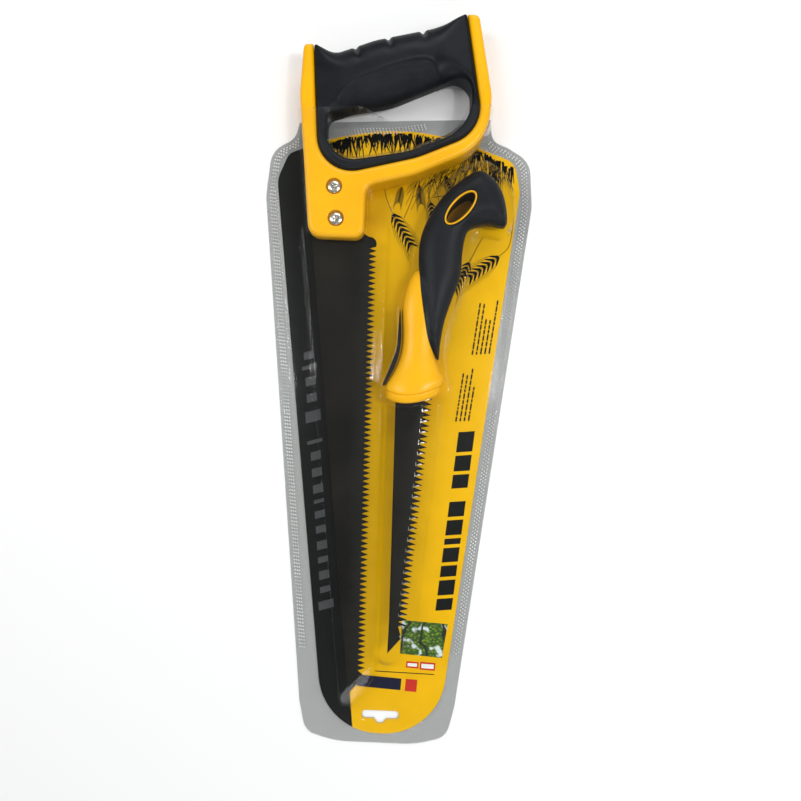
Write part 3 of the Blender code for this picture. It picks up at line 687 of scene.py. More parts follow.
BLADE_POCKET = rounded([(-64.5, 138, 4), (-63.0, 126, 8), (-24.8, -182.0, 5), (-17.0, -184.0, 3),
                        (-2.8, -164.0, 5), (-6.5, 112, 10), (-6.5, 138, 6), (-20.0, 150, 4)])
SMALL_BLADE_POCKET = rounded([(-0.5, 30, 2), (0.6, -152.0, 4), (7.0, -156.0, 3), (22.8, -135, 6),
                              (34.5, 30, 2)])
SMALL_SAW_POCKET = smooth([(-6.6, 27.0), (-5.4, 20.8), (9.5, 18.8), (28.0, 22.0), (38.4, 29.0), (37.6, 38.0),
                           (35.2, 56.0), (38.0, 76.0), (43.4, 92.0), (47.6, 107.5), (48.4, 125.0),
                           (51.5, 136.0), (60.5, 139.6), (72.0, 138.8), (76.0, 144.5), (74.6, 161.9),
                           (68.6, 173.8), (57.5, 181.6), (48.5, 180.8), (39.0, 175.3), (25.6, 162.5),
                           (15.4, 145.0), (11.2, 125.5), (9.0, 106.0), (2.0, 84.0), (2.4, 68.0),
                           (1.6, 56.0), (-2.4, 44.0), (-6.4, 35.0)], 4)


# ---------------------------------------------------------------- large saw

SCREW_NODES = ("handle_screw_upper", "handle_screw_lower")
HEAD_RADIUS = (high(SCREW_NODES[0], X) - low(SCREW_NODES[0], X)) / 2
COUNTERBORE = HEAD_RADIUS + 0.8
COUNTERBORE_FLOOR = FRAME_HALF - 3.0
BORE = 3.2
HEAD_DEPTH = 2.2
SHANK_RADIUS = 1.9
SCREWS = [middle(name) for name in SCREW_NODES]


def make_handle_frame():
    """Yellow frame: level faces whose edges are quarter rounds, with two counterbored screw holes.

    The half height is the frame's own, less the edge's rounding. Within a counterbore it drops to
    the seat, across a ring a tenth of a millimetre wide.
    """
    holes = [ellipse(centre, (BORE, BORE), 0, 40) for centre in SCREWS]
    rims = [ellipse(centre, (radius, radius), 0, 64) for centre in SCREWS
            for radius in (COUNTERBORE - 0.06, COUNTERBORE + 0.06, COUNTERBORE + 0.3, COUNTERBORE + 0.6)]

    def half(points, space):
        sides = distance(points, FRAME).clip(0)
        rise = FRAME_HALF - rounding(sides, FRAME_EDGE, FRAME_EDGE)
        for centre in SCREWS:
            radius = np.linalg.norm(points - centre, axis=1)
            rise = rise - rounding(radius - COUNTERBORE, 0.6, 0.6)
            rise = np.where(radius < COUNTERBORE, COUNTERBORE_FLOOR, rise)
        return rise

    thing = moulded("large_handle_frame_shape", [FRAME] + holes, *both_faces(half),
                    edge_rows(FRAME_EDGE), 1.2, 5.0, rims)
    dress(thing, "yellow_plastic", YELLOW, stands_for=["large_handle_frame"])


def grip_axes(points):
    """Place along the grip's own sloping axis and across it."""
    shift = points - GRIP_CENTRE
    along = shift @ np.array((math.cos(GRIP_SLOPE), math.sin(GRIP_SLOPE)))
    across = shift @ np.array((-math.sin(GRIP_SLOPE), math.cos(GRIP_SLOPE)))
    return along, across


def make_handle_grip():
    """Black overmould: a lining round the hand hole that swells into a full round grip.

    The half height is the ring's own with a small edge round, blended by place along and across the
    grip's axis into a taller one whose edge round reaches far in. Finger grooves are bells across
    short lines, and the grained inset is a ridge with a shallow floor inside it.
    """
    outer = densified(OVERMOULD, 0.8)
    notch_gap = np.linalg.norm(outer[:, None] - FINGER_NOTCHES, axis=-1)
    dent = bump(notch_gap, 1.5).max(1, keepdims=True)
    outer = outer + (shifted(outer, 1.0) - outer) * dent * 1.5
    down = np.array((math.sin(GRIP_SLOPE), -math.cos(GRIP_SLOPE)))
    level = np.array((math.cos(GRIP_SLOPE), math.sin(GRIP_SLOPE)))
    reach, side = np.meshgrid(np.arange(1, NOTCH_LENGTH + 2.5, 0.8), np.arange(-2.4, 2.5, 0.6))
    patch = reach.ravel()[:, None] * down + side.ravel()[:, None] * level
    grooves = (FINGER_NOTCHES[:, None] + patch).reshape(-1, 2)
    lips = [shifted(densified(INSET, 0.9), depth) for depth in (-1.8, -1.1, -0.5, 0, 0.5, 1.0, 1.6)]

    def half(points, space):
        along, across = grip_axes(points)
        grip = (1 - step_up(np.abs(along + 1), 30, 52)) * step_up(across, -34, -19)
        edge_reach = 2.6 + 13.0 * grip
        edge_rise = 2.6 + 8.2 * grip
        swell = GRIP_HALF - LIP_RISE - RING_HALF
        rise = RING_HALF + swell * grip - rounding(space, edge_reach, edge_rise)
        from_notch = points[:, None] - FINGER_NOTCHES
        run = (from_notch @ down).clip(0, NOTCH_LENGTH)
        off_line = np.linalg.norm(from_notch - run[..., None] * down, axis=-1)
        fade = 1 - step_up(run, NOTCH_LENGTH - 5, NOTCH_LENGTH)
        rise = rise - (1.5 * bump(off_line, 1.1) * (0.25 + 0.75 * fade)).max(1)
        inset = distance(points, INSET)
        return rise + LIP_RISE * bump(inset, 0.8) - 0.45 * step_up(inset, 0.2, 1.3)

    thing = moulded("large_handle_grip_shape", [outer, HAND_HOLE], *both_faces(half),
                    (0.1, 0.35, 0.8, 1.4, 2.0, 2.7, 4.2, 6.0, 8.5), 1.1, 2.2, [grooves] + lips, turn=50)
    paint(thing, "grain", lambda places: step_up(distance(places[:, :2], INSET), 0.6, 1.6))
    dress(thing, "black_rubber", BLACK, stands_for=["large_handle_grip"])


def tooth_row(line, depth):
    """Outline of pointed teeth from the line's start to its end, with the tips on the line.

    Each tooth rises to a narrow land on the line, and a short flat lies between teeth at the root.
    """
    run = line[1] - line[0]
    along = run / np.linalg.norm(run)
    inward = np.array((along[1], -along[0]))
    count = int(np.linalg.norm(run) / TOOTH_PITCH)
    number = np.arange(count)[:, None, None]
    share = np.array((0.06, 0.46, 0.54, 0.94))[None, :, None]
    dip = np.array((1, 0, 0, 1))[None, :, None]
    row = line[0] + along * TOOTH_PITCH * (number + share) + inward * depth * dip
    return row.reshape(-1, 2)


def make_blade(name, node_name, lead, tail, line, depth, half, filed):
    """Toothed blade: teeth bent to either side in turn, with filed bevels on both flanks.

    Past the root line each tooth's middle plane leans by its set times its share of the depth. The
    half thickness falls from the blade's own to a thin edge over the bevel's width, and over a
    narrower one along the plain edges.
    """
    outline = anticlockwise(np.vstack([lead, tooth_row(line, depth), tail]))
    run = line[1] - line[0]
    along = run / np.linalg.norm(run)
    outward = np.array((-along[1], along[0]))

    def tooth_place(points):
        shift = points[:, :2] - line[0]
        return shift @ along / TOOTH_PITCH, shift @ outward + depth

    def middle_plane(points):
        number, past_root = tooth_place(points)
        lean = np.where(np.floor(number) % 2 == 0, 1, -1) * (past_root / depth).clip(0, 1)
        inside = (number > 0) & (number < np.linalg.norm(run) / TOOTH_PITCH)
        return BLADE_PLANE + TOOTH_SET * lean * inside

    def thickness(points, space):
        number, past_root = tooth_place(points)
        toothed = step_up(past_root, -1.2, -0.4) * (number > 0)
        plain = half - 0.18 * (1 - np.clip(space / 0.25, 0, 1))
        ground = half - (half - 0.1) * (1 - np.clip(space / TOOTH_BEVEL, 0, 1))
        return plain + (ground - plain) * toothed

    thing = moulded(name, [outline], *both_faces(thickness, middle_plane),
                    (0.25, 0.55, TOOTH_BEVEL), 2.2, 6.0, turn=18)

    def ground_facet(centres, normals):
        number, past_root = tooth_place(centres)
        flank = (number % 1 > 0.5) & (np.floor(number) % 2 == 0) & (number > 0)
        near_root = (past_root > -0.9) & (past_root < 0.62 * depth)
        return flank & near_root & (np.abs(normals[:, 2]) < 0.985) & (np.abs(normals[:, 2]) > 0.2)

    def ground_band(places):
        past_root = tooth_place(places)[1]
        return step_up(past_root, -6.4, -5.8) * (1 - 0.7 * step_up(past_root, -0.5, 0.5))

    paint(thing, "ground_band", ground_band)
    dress(thing, "coated_steel", COATED, BRIGHT, stands_for=[node_name])
    if filed:
        repaint(thing, ground_facet, 1)


def make_large_blade():
    """Large blade with its tang, heel lobe and slanting tip."""
    make_blade("large_blade_shape", "large_blade",
               [(-19.4, -174.6), (-57.0, 130.2), (-54.2, 136.0), (-54.2, 160.0), (-29.0, 160.0),
                (-26.5, 136.0), (-19.0, 132.1), (-16.2, 131.6), (-14.2, 129.9), (-13.4, 127.6),
                (-13.8, 125.6)],
               [(-8.9, -162.0)], LARGE_TEETH, LARGE_TOOTH_DEPTH, LARGE_BLADE_HALF, False)


def make_small_blade():
    """Small pointed blade."""
    make_blade("small_blade_shape", "small_blade",
               [(5.6, -146.2), (5.9, -123.8), (3.8, 20.9), (3.9, 30.0), (9.0, 30.0), (9.0, 60.0),
                (23.0, 60.0), (23.0, 30.0), (28.0, 30.0)],
               [(14.6, -135.6)], SMALL_TEETH, SMALL_TOOTH_DEPTH, SMALL_BLADE_HALF, True)


def make_screw(node_name, turn):
    """Pan-head screw: a turned profile whose crown is cut by a tapering cross.

    The cross takes its depth off the crown where either arm's side distance is under half the arm's
    width, and gets shallower towards the arms' ends.
    """
    centre = middle(node_name)
    crown, end = high(node_name, Z), low(node_name, Z)
    seat = crown - HEAD_DEPTH
    radius = np.concatenate([np.linspace(0.02, HEAD_RADIUS * 0.92, 22), [HEAD_RADIUS * 0.975, HEAD_RADIUS]])
    dome = crown - 0.05 - 1.15 * (radius / HEAD_RADIUS) ** 3.2
    profile_radius = np.concatenate([radius, [HEAD_RADIUS, SHANK_RADIUS, SHANK_RADIUS, 1.5]])
    profile_height = np.concatenate([dome, [seat, seat, end + 0.5, end]])
    angle = np.linspace(0, 2 * np.pi, 96, endpoint=False)
    x = profile_radius[:, None] * np.cos(angle)
    y = profile_radius[:, None] * np.sin(angle)
    z = np.repeat(profile_height[:, None], len(angle), 1)
    across = x * math.cos(turn) + y * math.sin(turn)
    up = y * math.cos(turn) - x * math.sin(turn)
    off_arm = np.minimum(np.abs(across), np.abs(up))
    reach = np.maximum(np.abs(across), np.abs(up))
    depth = 1.5 * (1 - reach / 2.7).clip(0) ** 0.6 * (1 - step_up(off_arm, 0.34, 0.52))
    hub = 1.4 * (1 - step_up(np.hypot(x, y), 0.7, 1.1))
    z[:len(radius)] -= np.maximum(depth, hub)[:len(radius)]
    rings = np.stack([x + centre[0], y + centre[1], z], -1)[::-1]
    thing = swept(node_name + "_shape", rings)
    dress(thing, "bright_steel", BRIGHT, stands_for=[node_name])


# ---------------------------------------------------------------- small saw

def flare_sizes(y):
    """Left side, right side and half depth of the flare at y, between its stations."""
    return tuple(np.interp(y, FLARE[:, 0], FLARE[:, column]) for column in (1, 2, 3))


def flare_height(points):
    """Half height of the flare over each point: its section is |x|^p + |z|^p = 1 with p above two."""
    left, right, half = flare_sizes(points[:, 1])
    across = np.abs(points[:, 0] - (left + right) / 2) / ((right - left) / 2)
    inside = (points[:, 1] > FLARE[0, 0]) & (points[:, 1] < FLARE[-1, 0])
    return half * (1 - np.clip(across, 0, 1) ** FLARE_POWER) ** (1 / FLARE_POWER) * inside


def make_small_core():
    """Yellow core: the flare over the blade, with a grooved collar, and the rim of the hanging hole.

    A section's points are (cos a)^(2/p) across and (sin a)^(2/p) deep. The collar's end is bowed by
    the square of the distance from its lowest point, and the groove is a bell in the section's size.
    """
    y = np.concatenate([FLARE[0, 0] + np.array((0, 0.15, 0.5, 1.0, 1.6)), np.arange(23.6, 110, 0.55)])
    left, right, half = flare_sizes(y)
    end_round = 1.5 * rounding(y - y[0], 1.6, 1)
    groove = 0.6 * bump(y - COLLAR_GROOVE, 0.42)
    lip_drop = 0.25 * step_up(y, COLLAR_GROOVE + 0.3, COLLAR_GROOVE)
    trim = -end_round - groove - lip_drop
    angle = np.linspace(0, 2 * np.pi, 88, endpoint=False)
    power = 2 / FLARE_POWER
    wave = np.sign(np.cos(angle)) * np.abs(np.cos(angle)) ** power
    lift = np.sign(np.sin(angle)) * np.abs(np.sin(angle)) ** power
    x = ((left + right) / 2)[:, None] + ((right - left) / 2 + trim)[:, None] * wave
    z = BLADE_PLANE + (half + trim)[:, None] * lift
    off_low = x - COLLAR_LOW
    bow = np.where(off_low > 0, 0.0125, 0.021) * off_low ** 2 * (1 - step_up(y, 26, 52))[:, None]
    rings = np.stack([x, y[:, None] + bow, z], -1)
    flare = swept("flare", rings[:, ::-1])

    lip = np.array(((0, 10.6), (0, 11.4), (0.3, 11.8), (0.75, 11.95), (1.1, 11.8), (1.3, 11.3)))
    section = np.vstack([lip, lip[::-1] * (1, -1)])
    rings = [ellipse(HANG_HOLE, (HANG_HOLE_RADII[0] + out, HANG_HOLE_RADII[1] + out), HANG_HOLE_TILT, 96)
             for out in section[:, 0] * RIM_WIDTH / lip[-1, 0]]
    tube = np.concatenate([np.array(rings), np.repeat(section[:, 1:] + BLADE_PLANE, 96, 1)[..., None]], 2)
    count, around = tube.shape[:2]
    grid = np.arange(count * around).reshape(count, around)
    below, beside = np.roll(grid, -1, 0), np.roll(grid, -1, 1)
    corner = np.roll(below, -1, 1)
    quads = np.stack([grid, below, corner, beside], -1).reshape(-1, 4)
    rim = add_object("rim", tube.reshape(-1, 3), quads.tolist(), 40)
    core = joined("small_handle_core_shape", [flare, rim])
    dress(core, "yellow_plastic", YELLOW, BLACK, stands_for=["small_handle_core"])

    # The rim's inner wall takes the black finish as painted shade, so the hole stays dark and gives no orange
    # bounce light.
    def shaded_inner_wall(places, normals):
        near = np.linalg.norm(places[:, :2] - HANG_HOLE, axis=1) < HANG_HOLE_RADII[0] + 2 * RIM_WIDTH
        return near & (np.abs(places[:, 2] - BLADE_PLANE) < 10.5)

    repaint(core, shaded_inner_wall, 1)


def make_small_grip():
    """Black overmould of the pistol grip, its hook and the tongue that runs down over the flare.

    The half height is a full round towards every side, and never less than just above the flare.
    """
    hole = ellipse(HANG_HOLE, (HANG_HOLE_RADII[0] + RIM_WIDTH + 0.1, HANG_HOLE_RADII[1] + RIM_WIDTH + 0.1),
                   HANG_HOLE_TILT, 96)

    def half(points, space):
        sides = distance(points, SMALL_GRIP).clip(0)
        round_body = SMALL_GRIP_HALF - rounding(sides, 12.5, SMALL_GRIP_HALF - 2.2)
        hole_edge = -distance(points, hole)
        body = round_body - rounding(hole_edge, 1.6, 0.9)
        crease = bump(distance(points, SMALL_GRIP) - 5.2, 0.9) * step_up(points[:, 0], 50, 58)
        body = body - 0.8 * crease * step_up(158 - points[:, 1], 0, 6)
        return np.maximum(body, flare_height(points) + 0.35 * step_up(sides, -0.1, 0.5))

    thing = moulded("small_handle_grip_shape", [SMALL_GRIP, hole], *both_faces(half),
                    (0.12, 0.4, 0.9, 1.6, 2.5, 3.6, 5.0, 7.0), 1.0, 1.9, turn=50)
    paint(thing, "grain", lambda places: np.full(len(places), 0.25))
    dress(thing, "black_rubber", BLACK, stands_for=["small_handle_grip"])


def make_side_strip():
    """Thin black strip along the flare's left side, following its curve."""
    thing = moulded("small_handle_strip_shape", [SIDE_STRIP],
                    *both_faces(lambda points, space: STRIP_HALF - rounding(space, 0.5, 0.4)),
                    (0.1, 0.25), 1.2, 3.0)
    paint(thing, "grain", lambda places: np.zeros(len(places)))
    dress(thing, "black_rubber", BLACK, stands_for=["small_handle_strip"])


# ---------------------------------------------------------------- card and its print

def left_of_stripe(places):
    """True left of the slanting edge between the black and yellow inks."""
    edge = STRIPE_EDGE[::-1]
    return places[:, 0] < np.interp(places[:, 1], edge[:, 1], edge[:, 0])


def make_card():
    """Printed card: black ink left of the slanting edge, yellow right of it, bare board behind."""
    thing = moulded("backing_card_shape", [CARD, HANG_SLOT],
                    lambda points, space: CARD_TOP - 0.05 * (1 - np.clip(space / 0.3, 0, 1)),
                    level_face(CARD_BOTTOM), (0.3,), 3.0, 9.0, lines=[STRIPE_EDGE[1:-1]])
    dress(thing, "printed_card", BOARD, YELLOW_INK, BLACK_INK, stands_for=["backing_card"])
    repaint(thing, lambda places, normals: normals[:, 2] > 0.5, 1)
    repaint(thing, lambda places, normals: (normals[:, 2] > 0.5) & left_of_stripe(places), 2)


PRINT = CARD_TOP + 0.02
SLANT = -0.2


def set_out(widths, gap):
    """Where blocks of these widths start when they follow one another with a gap between."""
    return np.cumsum(widths + gap) - widths - gap


def along_line(start, end, offsets):
    """Points at the given distances along the line from start to end."""
    start, end = np.array(start, float), np.array(end, float)
    return start + unit(end - start) * np.array(offsets, float)[:, None]


def make_wording():
    """Rows of plain blocks where wording goes: bold black, slanted grey, and small lines."""
    widths = np.array((9.0, 11.5, 8.5, 11.0, 4.5, 11.5, 11.5, 5.0, 10.5, 12.0, 15.5))
    starts = set_out(widths, 2.6)
    shown = np.arange(len(widths)) != 7
    line = ((43.0, -119.5), (53.6, 4.0))
    scale = np.linalg.norm(np.subtract(*line)) / (starts[-1] + widths[-1])
    bold = strokes("bold_blocks", along_line(*line, starts[shown] * scale),
                   along_line(*line, (starts + widths)[shown] * scale), 11.0, 11.0, PRINT, SLANT)

    generator = np.random.default_rng(4)
    small_starts, small_ends = [], []
    for line, rows in ((((59.5, 97.0), (55.0, 57.0)), 5), (((50.4, 50.9), (45.8, 10.6)), 4)):
        for row in range(rows):
            shift = np.array((2.9, 0.3)) * row
            length = np.linalg.norm(np.subtract(*line)) * generator.uniform(0.62, 1.0)
            words = generator.uniform(1.4, 5.0, 16)
            begins = set_out(words, 0.7)
            fits = begins + words < length
            top = line[0] + shift * (1, -1)
            foot = line[1] + shift
            small_starts.append(along_line(foot, top, begins[fits]))
            small_ends.append(along_line(foot, top, (begins + words)[fits]))
    small = strokes("small_blocks", np.vstack(small_starts), np.vstack(small_ends), 1.1, 1.1, PRINT)
    rule = strokes("rule", [(-2.0, -163.4)], [(38.5, -164.0)], 0.6, 0.6, PRINT)
    dress(joined("card_print_black", [bold, small, rule]), "printed_card", BLACK_INK)

    sizes = np.array((7, 5, 7, 5, 7, 6, 6, 3, 7, 7, 7, 3, 4, 9, 7, 7, 3, 6), float)
    begins = set_out(sizes, 3.2)
    shown = np.arange(len(sizes)) != 12
    line = np.array(((-37.5, -122.0), (-57.8, 56.0)))
    scale = np.linalg.norm(line[1] - line[0]) / (begins[-1] + sizes[-1])
    tall = np.where(np.isin(np.arange(len(sizes)), (0, 11, 13, 16)), 10.5, 7.0)
    feet = along_line(*line, begins[shown] * scale)
    ends = along_line(*line, (begins + sizes * 0.75)[shown] * scale)
    grey = strokes("card_print_grey", feet, ends, tall[shown], tall[shown], PRINT, SLANT)
    dress(grey, "printed_card", GREY_INK)


def ear_strokes(root, heading, size):
    """Starts, ends and widths of an ear of grass: paired slanting grains on a stalk, with fine awns."""
    ahead = np.array((math.cos(heading), math.sin(heading)))
    beside = np.array((-ahead[1], ahead[0]))
    step = np.arange(7)[:, None] * 0.125 * size
    spine = root + ahead * step
    starts, ends, wide, thin = [spine[:1]], [spine[-1:]], [np.array([0.5])], [np.array([0.5])]
    for side in (-1, 1):
        tips = spine + ahead * 0.15 * size + beside * side * 0.13 * size
        awns = tips + ahead * 0.34 * size + beside * side * 0.10 * size
        starts += [spine, tips]
        ends += [tips, awns]
        wide += [np.full(7, 0.075 * size), np.full(7, 0.4)]
        thin += [np.full(7, 0.03 * size), np.full(7, 0.12)]
    return np.vstack(starts), np.vstack(ends), np.concatenate(wide), np.concatenate(thin)


def stem_strokes(points):
    """Starts, ends and widths of a thin curved stem."""
    curve = open_curve(points, 6)
    width = np.full(len(curve) - 1, 0.45)
    return curve[:-1], curve[1:], width, width * 0.9


def make_grasses():
    """Grasses along the card's top edge, with stems and ears that hang down over the yellow."""
    generator = np.random.default_rng(11)
    count = 260
    x = generator.uniform(-58, 80, count)
    arch = CARD_TOP_CREST - x ** 2 / (2 * CARD_TOP_RADIUS)
    ridge = np.where(np.abs(x) < 60, arch, 196.5 - (np.abs(x) - 60) * 0.45)
    tops = np.stack([x, ridge - 1.2 - generator.uniform(0, 2.5, count)], 1)
    lean = generator.normal(0, 0.22, count)
    length = generator.uniform(5, 17, count) + 9 * bump(x - 62, 12)
    feet = tops - np.stack([np.sin(lean), np.cos(lean)], 1) * length[:, None]
    groups = [(tops, feet, generator.uniform(0.7, 2.0, count), generator.uniform(0.15, 0.6, count))]
    wild = 60
    x = generator.uniform(4, 52, wild)
    tops = np.stack([x + 8, 176 + 0.35 * x + generator.uniform(-6, 6, wild)], 1)
    feet = tops + np.stack([generator.normal(-6, 5, wild), -generator.uniform(6, 20, wild)], 1)
    groups.append((tops, feet, np.full(wild, 0.5), np.full(wild, 0.25)))
    ears = [((-3.5, 151.0), -58, 30), ((70.0, 125.0), 218, 30), ((22.0, 160.0), -80, 22),
            ((1.5, 170.0), -100, 13), ((13.5, 171.5), -82, 15), ((32.0, 178.0), -70, 17),
            ((50.0, 120.0), -115, 26)]
    for root, heading, size in ears:
        groups.append(ear_strokes(np.array(root), math.radians(heading), size))
    stems = [[(-3.5, 151.0), (-9.0, 163.0), (-11.0, 175.0)], [(70.0, 125.0), (77.0, 133.0), (79.5, 150.0)],
             [(22.0, 160.0), (20.0, 172.0), (30.0, 190.0)], [(4.0, 149.0), (9.0, 163.0), (14.0, 184.0)],
             [(13.5, 171.5), (14.0, 180.0), (20.0, 192.0)], [(32.0, 178.0), (38.0, 188.0), (36.0, 200.0)],
             [(23.0, 164.0), (33.0, 166.0), (48.0, 170.0)], [(50.0, 120.0), (56.0, 133.0), (59.0, 138.0)]]
    for points in stems:
        groups.append(stem_strokes(points))
    starts, ends, wide, thin = (np.concatenate(parts) for parts in zip(*groups))
    kept = (distance(starts, CARD) > 0.6) & (distance(ends, CARD) > 0.6)
    grasses = strokes("card_print_grasses", starts[kept], ends[kept], wide[kept], thin[kept], PRINT)
    dress(grasses, "printed_card", BLACK_INK)


def make_pictures():
    """A leafy picture and plain colour blocks near the card's lower end."""
    corners = np.array([(14.8, -127.5), (46.4, -128.9), (43.3, -152.4), (14.4, -150.6)])
    picture = moulded("card_print_picture", [anticlockwise(corners)],
                      level_face(PRINT + 0.03), level_face(PRINT), (), 4.0, 6.0)
    dress(picture, "printed_card", foliage_print())
    blocks = [("card_print_red", RED_INK, [(19.0, -157.8), (28.5, -158.3), (19.0, -172.0)],
               [(27.5, -158.2), (39.0, -158.8), (27.0, -172.4)], [4.4, 5.4, 8.4], PRINT),
              ("card_print_white", WHITE_INK, [(20.0, -157.9), (29.5, -158.4)],
               [(26.5, -158.1), (38.0, -158.7)], [2.2, 3.0], PRINT + 0.06),
              ("card_print_navy", NAVY_INK, [(-14.0, -170.2)], [(16.0, -171.8)], [8.0], PRINT)]
    for name, made, starts, ends, widths, level in blocks:
        dress(strokes(name, starts, ends, widths, widths, level), "printed_card", made)


# ---------------------------------------------------------------- clear pack

WALL_SLANT = 2.2
POCKET_ROUND = 2.0
POCKET_ROWS = (-2.7, -2.2, -1.6, -1.05, -0.5, 0.0, 0.12, 0.45, 1.0, 2.0, 3.2)
HANDLE_ROOM = 0.8
# a blade pocket's sloping end: the ridge that it falls away from, and its steepness
LARGE_TIP = (np.array([(-30.0, -179.6), (-6.0, -155.0)]), 0.28)
SMALL_TIP = (np.array([(-1.5, -154.6), (24.0, -128.4)]), 0.5)
TIP_LENGTH = 12.0
RIBS = (((59.3, 192.8), (74.5, 174.9), 1.0), ((-12.0, 70.0), (-12.6, 36.0), 0.5),
        ((-8.0, 70.0), (-9.4, 34.0), 0.5), ((-7.5, 168.0), (-3.0, 150.0), 0.5))


def pocket_rise(points, outline, hole, height):
    """Rise of a pocket: a slanting wall outside the outline, then a quarter round up to its level."""
    inside = distance(points, outline)
    if hole is not None:
        inside = np.minimum(inside, -distance(points, hole))
    wall = np.clip((inside + WALL_SLANT) / WALL_SLANT, 0, 1) ** 1.1 * (height - POCKET_ROUND)
    crown = POCKET_ROUND - rounding(inside, POCKET_ROUND, POCKET_ROUND)
    return wall + np.where(inside > 0, crown, 0)


def pocket_list():
    """Each pocket's outline, the outline of any island in it, its level and any sloping end."""
    handle = shifted(HANDLE_SOLID, -HANDLE_ROOM - SHEET)
    island = shifted(HAND_HOLE, HANDLE_ROOM + SHEET)
    return [(handle, island, HANDLE_POCKET_TOP, None),
            (shifted(BLADE_POCKET, -SHEET), None, BLADE_POCKET_TOP, LARGE_TIP),
            (shifted(SMALL_BLADE_POCKET, -SHEET), None, BLADE_POCKET_TOP, SMALL_TIP),
            (shifted(SMALL_SAW_POCKET, -SHEET), None, SMALL_POCKET_TOP, None)]


def past_line(points, line):
    """How far points lie to the right of a line, seen along it."""
    along = unit(line[1] - line[0])
    return (points - line[0]) @ np.array((along[1], -along[0]))


def line_gap(points, start, end):
    """Distance of points from a short straight line."""
    run = np.subtract(end, start)
    share = ((points - start) @ run / (run @ run)).clip(0, 1)
    return np.linalg.norm(points - start - share[:, None] * run, axis=1)


def make_front_shell():
    """Clear blister: one sheet that rises from the flange over the card's step to each pocket.

    Its height is the highest of the flange, the step and every pocket's own rise at that place. Each
    blade pocket's end slopes down past a slanting ridge, and a few low ribs stiffen the sheet.
    """
    pockets = pocket_list()
    step = shifted(CARD, -GAP - SHEET)

    def height(points):
        rise = FLANGE_TOP + (STEP_TOP - FLANGE_TOP) * step_up(distance(points, step), -1.5, 0.9)
        for outline, hole, top, tip in pockets:
            level = np.full(len(points), top - FLANGE_TOP)
            if tip:
                ridge, slope = tip
                past = past_line(points, ridge) * (points[:, 1] < ridge[1, 1])
                level -= slope * past.clip(0, TIP_LENGTH)
            rise = np.maximum(rise, FLANGE_TOP + pocket_rise(points, outline, hole, level))
        for start, end, tall in RIBS:
            rise = rise + tall * bump(line_gap(points, start, end), 0.8)
        return rise

    rows = []
    for outline, hole, *_ in pockets:
        for loop, side in ((outline, 1), (hole, -1)):
            if loop is not None:
                dense = densified(loop, 1.5)
                rows += [shifted(dense, side * depth) for depth in POCKET_ROWS]
    rows += [shifted(densified(step, 1.8), depth) for depth in (-1.6, -1.0, -0.5, 0.0, 0.5, 1.0)]
    lines = [np.linspace(*ridge, 30) for ridge, _ in (LARGE_TIP, SMALL_TIP)]
    lines += [np.linspace(start, end, 24) for start, end, _ in RIBS]
    for line in lines:
        across = unit(line[-1] - line[0])[::-1] * (1, -1)
        rows += [line + across * offset for offset in (-1.6, -0.8, -0.3, 0.3, 0.8, 1.6)]
    loops = [densified(PACK, 2.0), densified(HANG_SLOT, 1.0)]
    rows = [row[room(row, loops) > 0.4] for row in rows]
    fill = triangular_grid(PACK, 3.4)
    fill = fill[room(fill, loops) > 1.2]
    flat, faces = flat_triangles(loops, np.vstack(rows + [fill]))
    skin = np.column_stack([flat, height(flat)])
    thing = add_object("front_shell_shape", skin, faces.tolist(), 60)
    wall = thing.modifiers.new("sheet", "SOLIDIFY")
    wall.thickness = SHEET * MM
    wall.offset = -1
    wall.use_even_offset = False
    dress(thing, "clear_plastic", FRONT_CLEAR, stands_for=["front_shell"])


DOT_RADIUS = 0.62
DOT_HEIGHT = 0.22
DOT_PITCH = 2.4
BAND_PITCH = 2.2
HAND_HOLE_WELD = ((-39.0, 205.5), (-31.8, 208.0), (-20.0, 209.6), (-8.9, 209.8), (5.0, 212.0), (17.3, 214.0))
WELD_END = -150.0


def dot_shape():
    """Points and faces of a low six-sided stud with a smaller top."""
    angle = np.linspace(0, 2 * np.pi, 6, endpoint=False)
    ring = np.stack([np.cos(angle), np.sin(angle)], 1) * DOT_RADIUS
    foot = np.column_stack([ring, np.full(6, -0.1)])
    head = np.column_stack([ring * 0.55, np.full(6, DOT_HEIGHT)])
    sides = [(number, (number + 1) % 6, (number + 1) % 6 + 6, number + 6) for number in range(6)]
    return np.vstack([foot, head]), sides + [(5, 4, 3, 2, 1, 0), (6, 7, 8, 9, 10, 11)]


def even_points(path, pitch, start):
    """Points every pitch along an open path, from a starting distance on."""
    run = np.concatenate([[0], np.cumsum(np.linalg.norm(np.diff(path, axis=0), axis=1))])
    spots = np.arange(start, run[-1], pitch)
    return np.stack([np.interp(spots, run, path[:, axis]) for axis in (X, Y)], 1)


def make_weld_dots():
    """Rows of small studs pressed into the welded flange, and a short band inside the hand hole."""
    shape, faces = dot_shape()
    centres = []
    for number, depth in enumerate((3.0, 4.5, 6.0)):
        row = shifted(densified(PACK, 8.0), depth)
        evenly = even_points(np.vstack([row, row[:1]]), DOT_PITCH, DOT_PITCH / 2 * (number % 2))
        free = distance(evenly, shifted(CARD, -GAP - SHEET - 1.0)) < 0
        clear = distance(evenly, shifted(HANDLE_SOLID, -4.5)) < 0
        centres.append(evenly[free & clear & (evenly[:, 1] > WELD_END)])
    for drop in (0.0, 1.5, 3.0):
        band = open_curve([(x, y - drop) for x, y in HAND_HOLE_WELD], 12)
        centres.append(even_points(band, BAND_PITCH, 0.4 * drop))
    flat = np.vstack(centres)
    thing = many("weld_dots", shape, faces, np.column_stack([flat, np.full(len(flat), FLANGE_TOP)]), 20)
    dress(thing, "clear_plastic", WELD_CLEAR)


# ---------------------------------------------------------------- scene

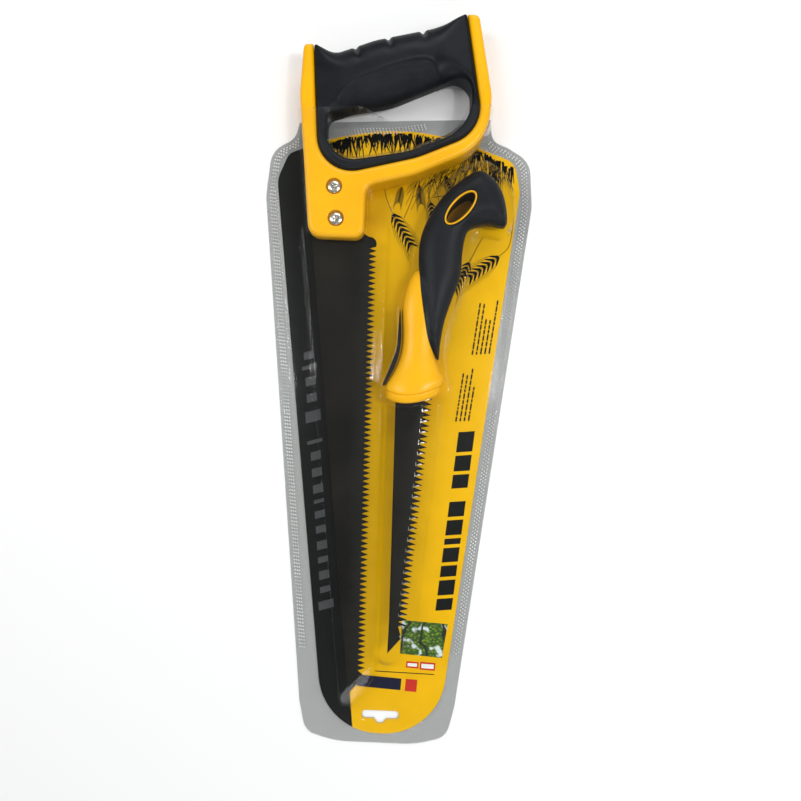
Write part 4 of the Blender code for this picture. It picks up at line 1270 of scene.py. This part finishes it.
def make_floor():
    """Pale floor just under the pack."""
    size, level = 9000.0, -0.05
    corners = [(-size, -size, level), (size, -size, level), (size, size, level), (-size, size, level)]
    floor = add_object("floor", np.array(corners), [(0, 1, 2, 3)])
    floor.data.materials.append(floor_finish())


def add_lamp(name, spot, aim, size, power, colour=(1, 1, 1)):
    """Rectangular lamp at a place in metres, turned to face a point."""
    lamp = bpy.data.lights.new(name, "AREA")
    lamp.shape = "RECTANGLE"
    lamp.size, lamp.size_y = size
    lamp.energy = power
    lamp.color = colour
    thing = bpy.data.objects.new(name, lamp)
    bpy.context.scene.collection.objects.link(thing)
    thing.location = spot
    way = np.array(aim, float) - np.array(spot, float)
    flat = math.hypot(way[0], way[1])
    thing.rotation_euler = (math.atan2(flat, -way[2]), 0, math.atan2(way[0], -way[1]) + math.pi)


def light_scene():
    """Soft lamps on all sides, off to the sides so that level faces stay free of glare.

    Two thin strips and one small lamp give the curved sheet its bright lines and points.
    """
    world = bpy.data.worlds.new("studio")
    bpy.context.scene.world = world
    world.use_nodes = True
    backdrop = world.node_tree.nodes["Background"]
    backdrop.inputs["Color"].default_value = (0.95, 0.97, 1.0, 1)
    backdrop.inputs["Strength"].default_value = 0.26
    add_lamp("left_lamp", (-0.86, 0.3, 1.0), (0, 0, 0), (0.3, 0.9), 4.2)
    add_lamp("right_lamp", (0.86, 0.1, 1.0), (0, 0, 0), (0.3, 0.9), 3.6)
    add_lamp("top_lamp", (0.1, 1.2, 1.0), (0, 0.1, 0), (0.9, 0.4), 7.4)
    add_lamp("near_lamp", (0.1, -1.2, 1.0), (0, 0, 0), (0.8, 0.3), 5.4)
    add_lamp("left_strip", (-0.56, 0.1, 0.9), (0, 0, 0), (0.02, 0.7), 1.6)
    add_lamp("right_strip", (0.56, 0.1, 0.9), (0, 0, 0), (0.02, 0.7), 1.6)
    add_lamp("glint", (0.40, 0.05, 0.85), (0, 0, 0), (0.05, 0.05), 1.2, (1, 0.98, 0.95))


CAMERA_SPOT = (0.0071, 0.0234, 0.5)
CAMERA_TURN = math.radians(2.53)
VIEW_WIDTH = 0.5527


def add_camera():
    """Camera straight above the pack, turned a little, whose view spans the set width at the floor."""
    lens = bpy.data.cameras.new("camera")
    lens.sensor_width = 36.0
    lens.lens = lens.sensor_width * CAMERA_SPOT[2] / VIEW_WIDTH
    lens.clip_start = 0.01
    camera = bpy.data.objects.new("camera", lens)
    bpy.context.scene.collection.objects.link(camera)
    camera.location = CAMERA_SPOT
    camera.rotation_euler = (0, 0, CAMERA_TURN)
    bpy.context.scene.camera = camera


bpy.context.scene.view_settings.view_transform = "Standard"
add_camera()
light_scene()
make_floor()
make_handle_frame()
make_handle_grip()
make_large_blade()
make_small_blade()
for number, name in enumerate(SCREW_NODES):
    make_screw(name, 0.4 + 0.5 * number)
make_small_core()
make_small_grip()
make_side_strip()
make_card()
make_wording()
make_grasses()
make_pictures()
make_front_shell()
make_weld_dots()
for name in ("sleeve_nut_upper", "sleeve_nut_lower"):
    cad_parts[name].data.materials[0] = BRIGHT
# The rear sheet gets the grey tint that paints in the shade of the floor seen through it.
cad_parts["rear_shell"].data.materials[0] = SHADE_TINTED_REAR_CLEAR
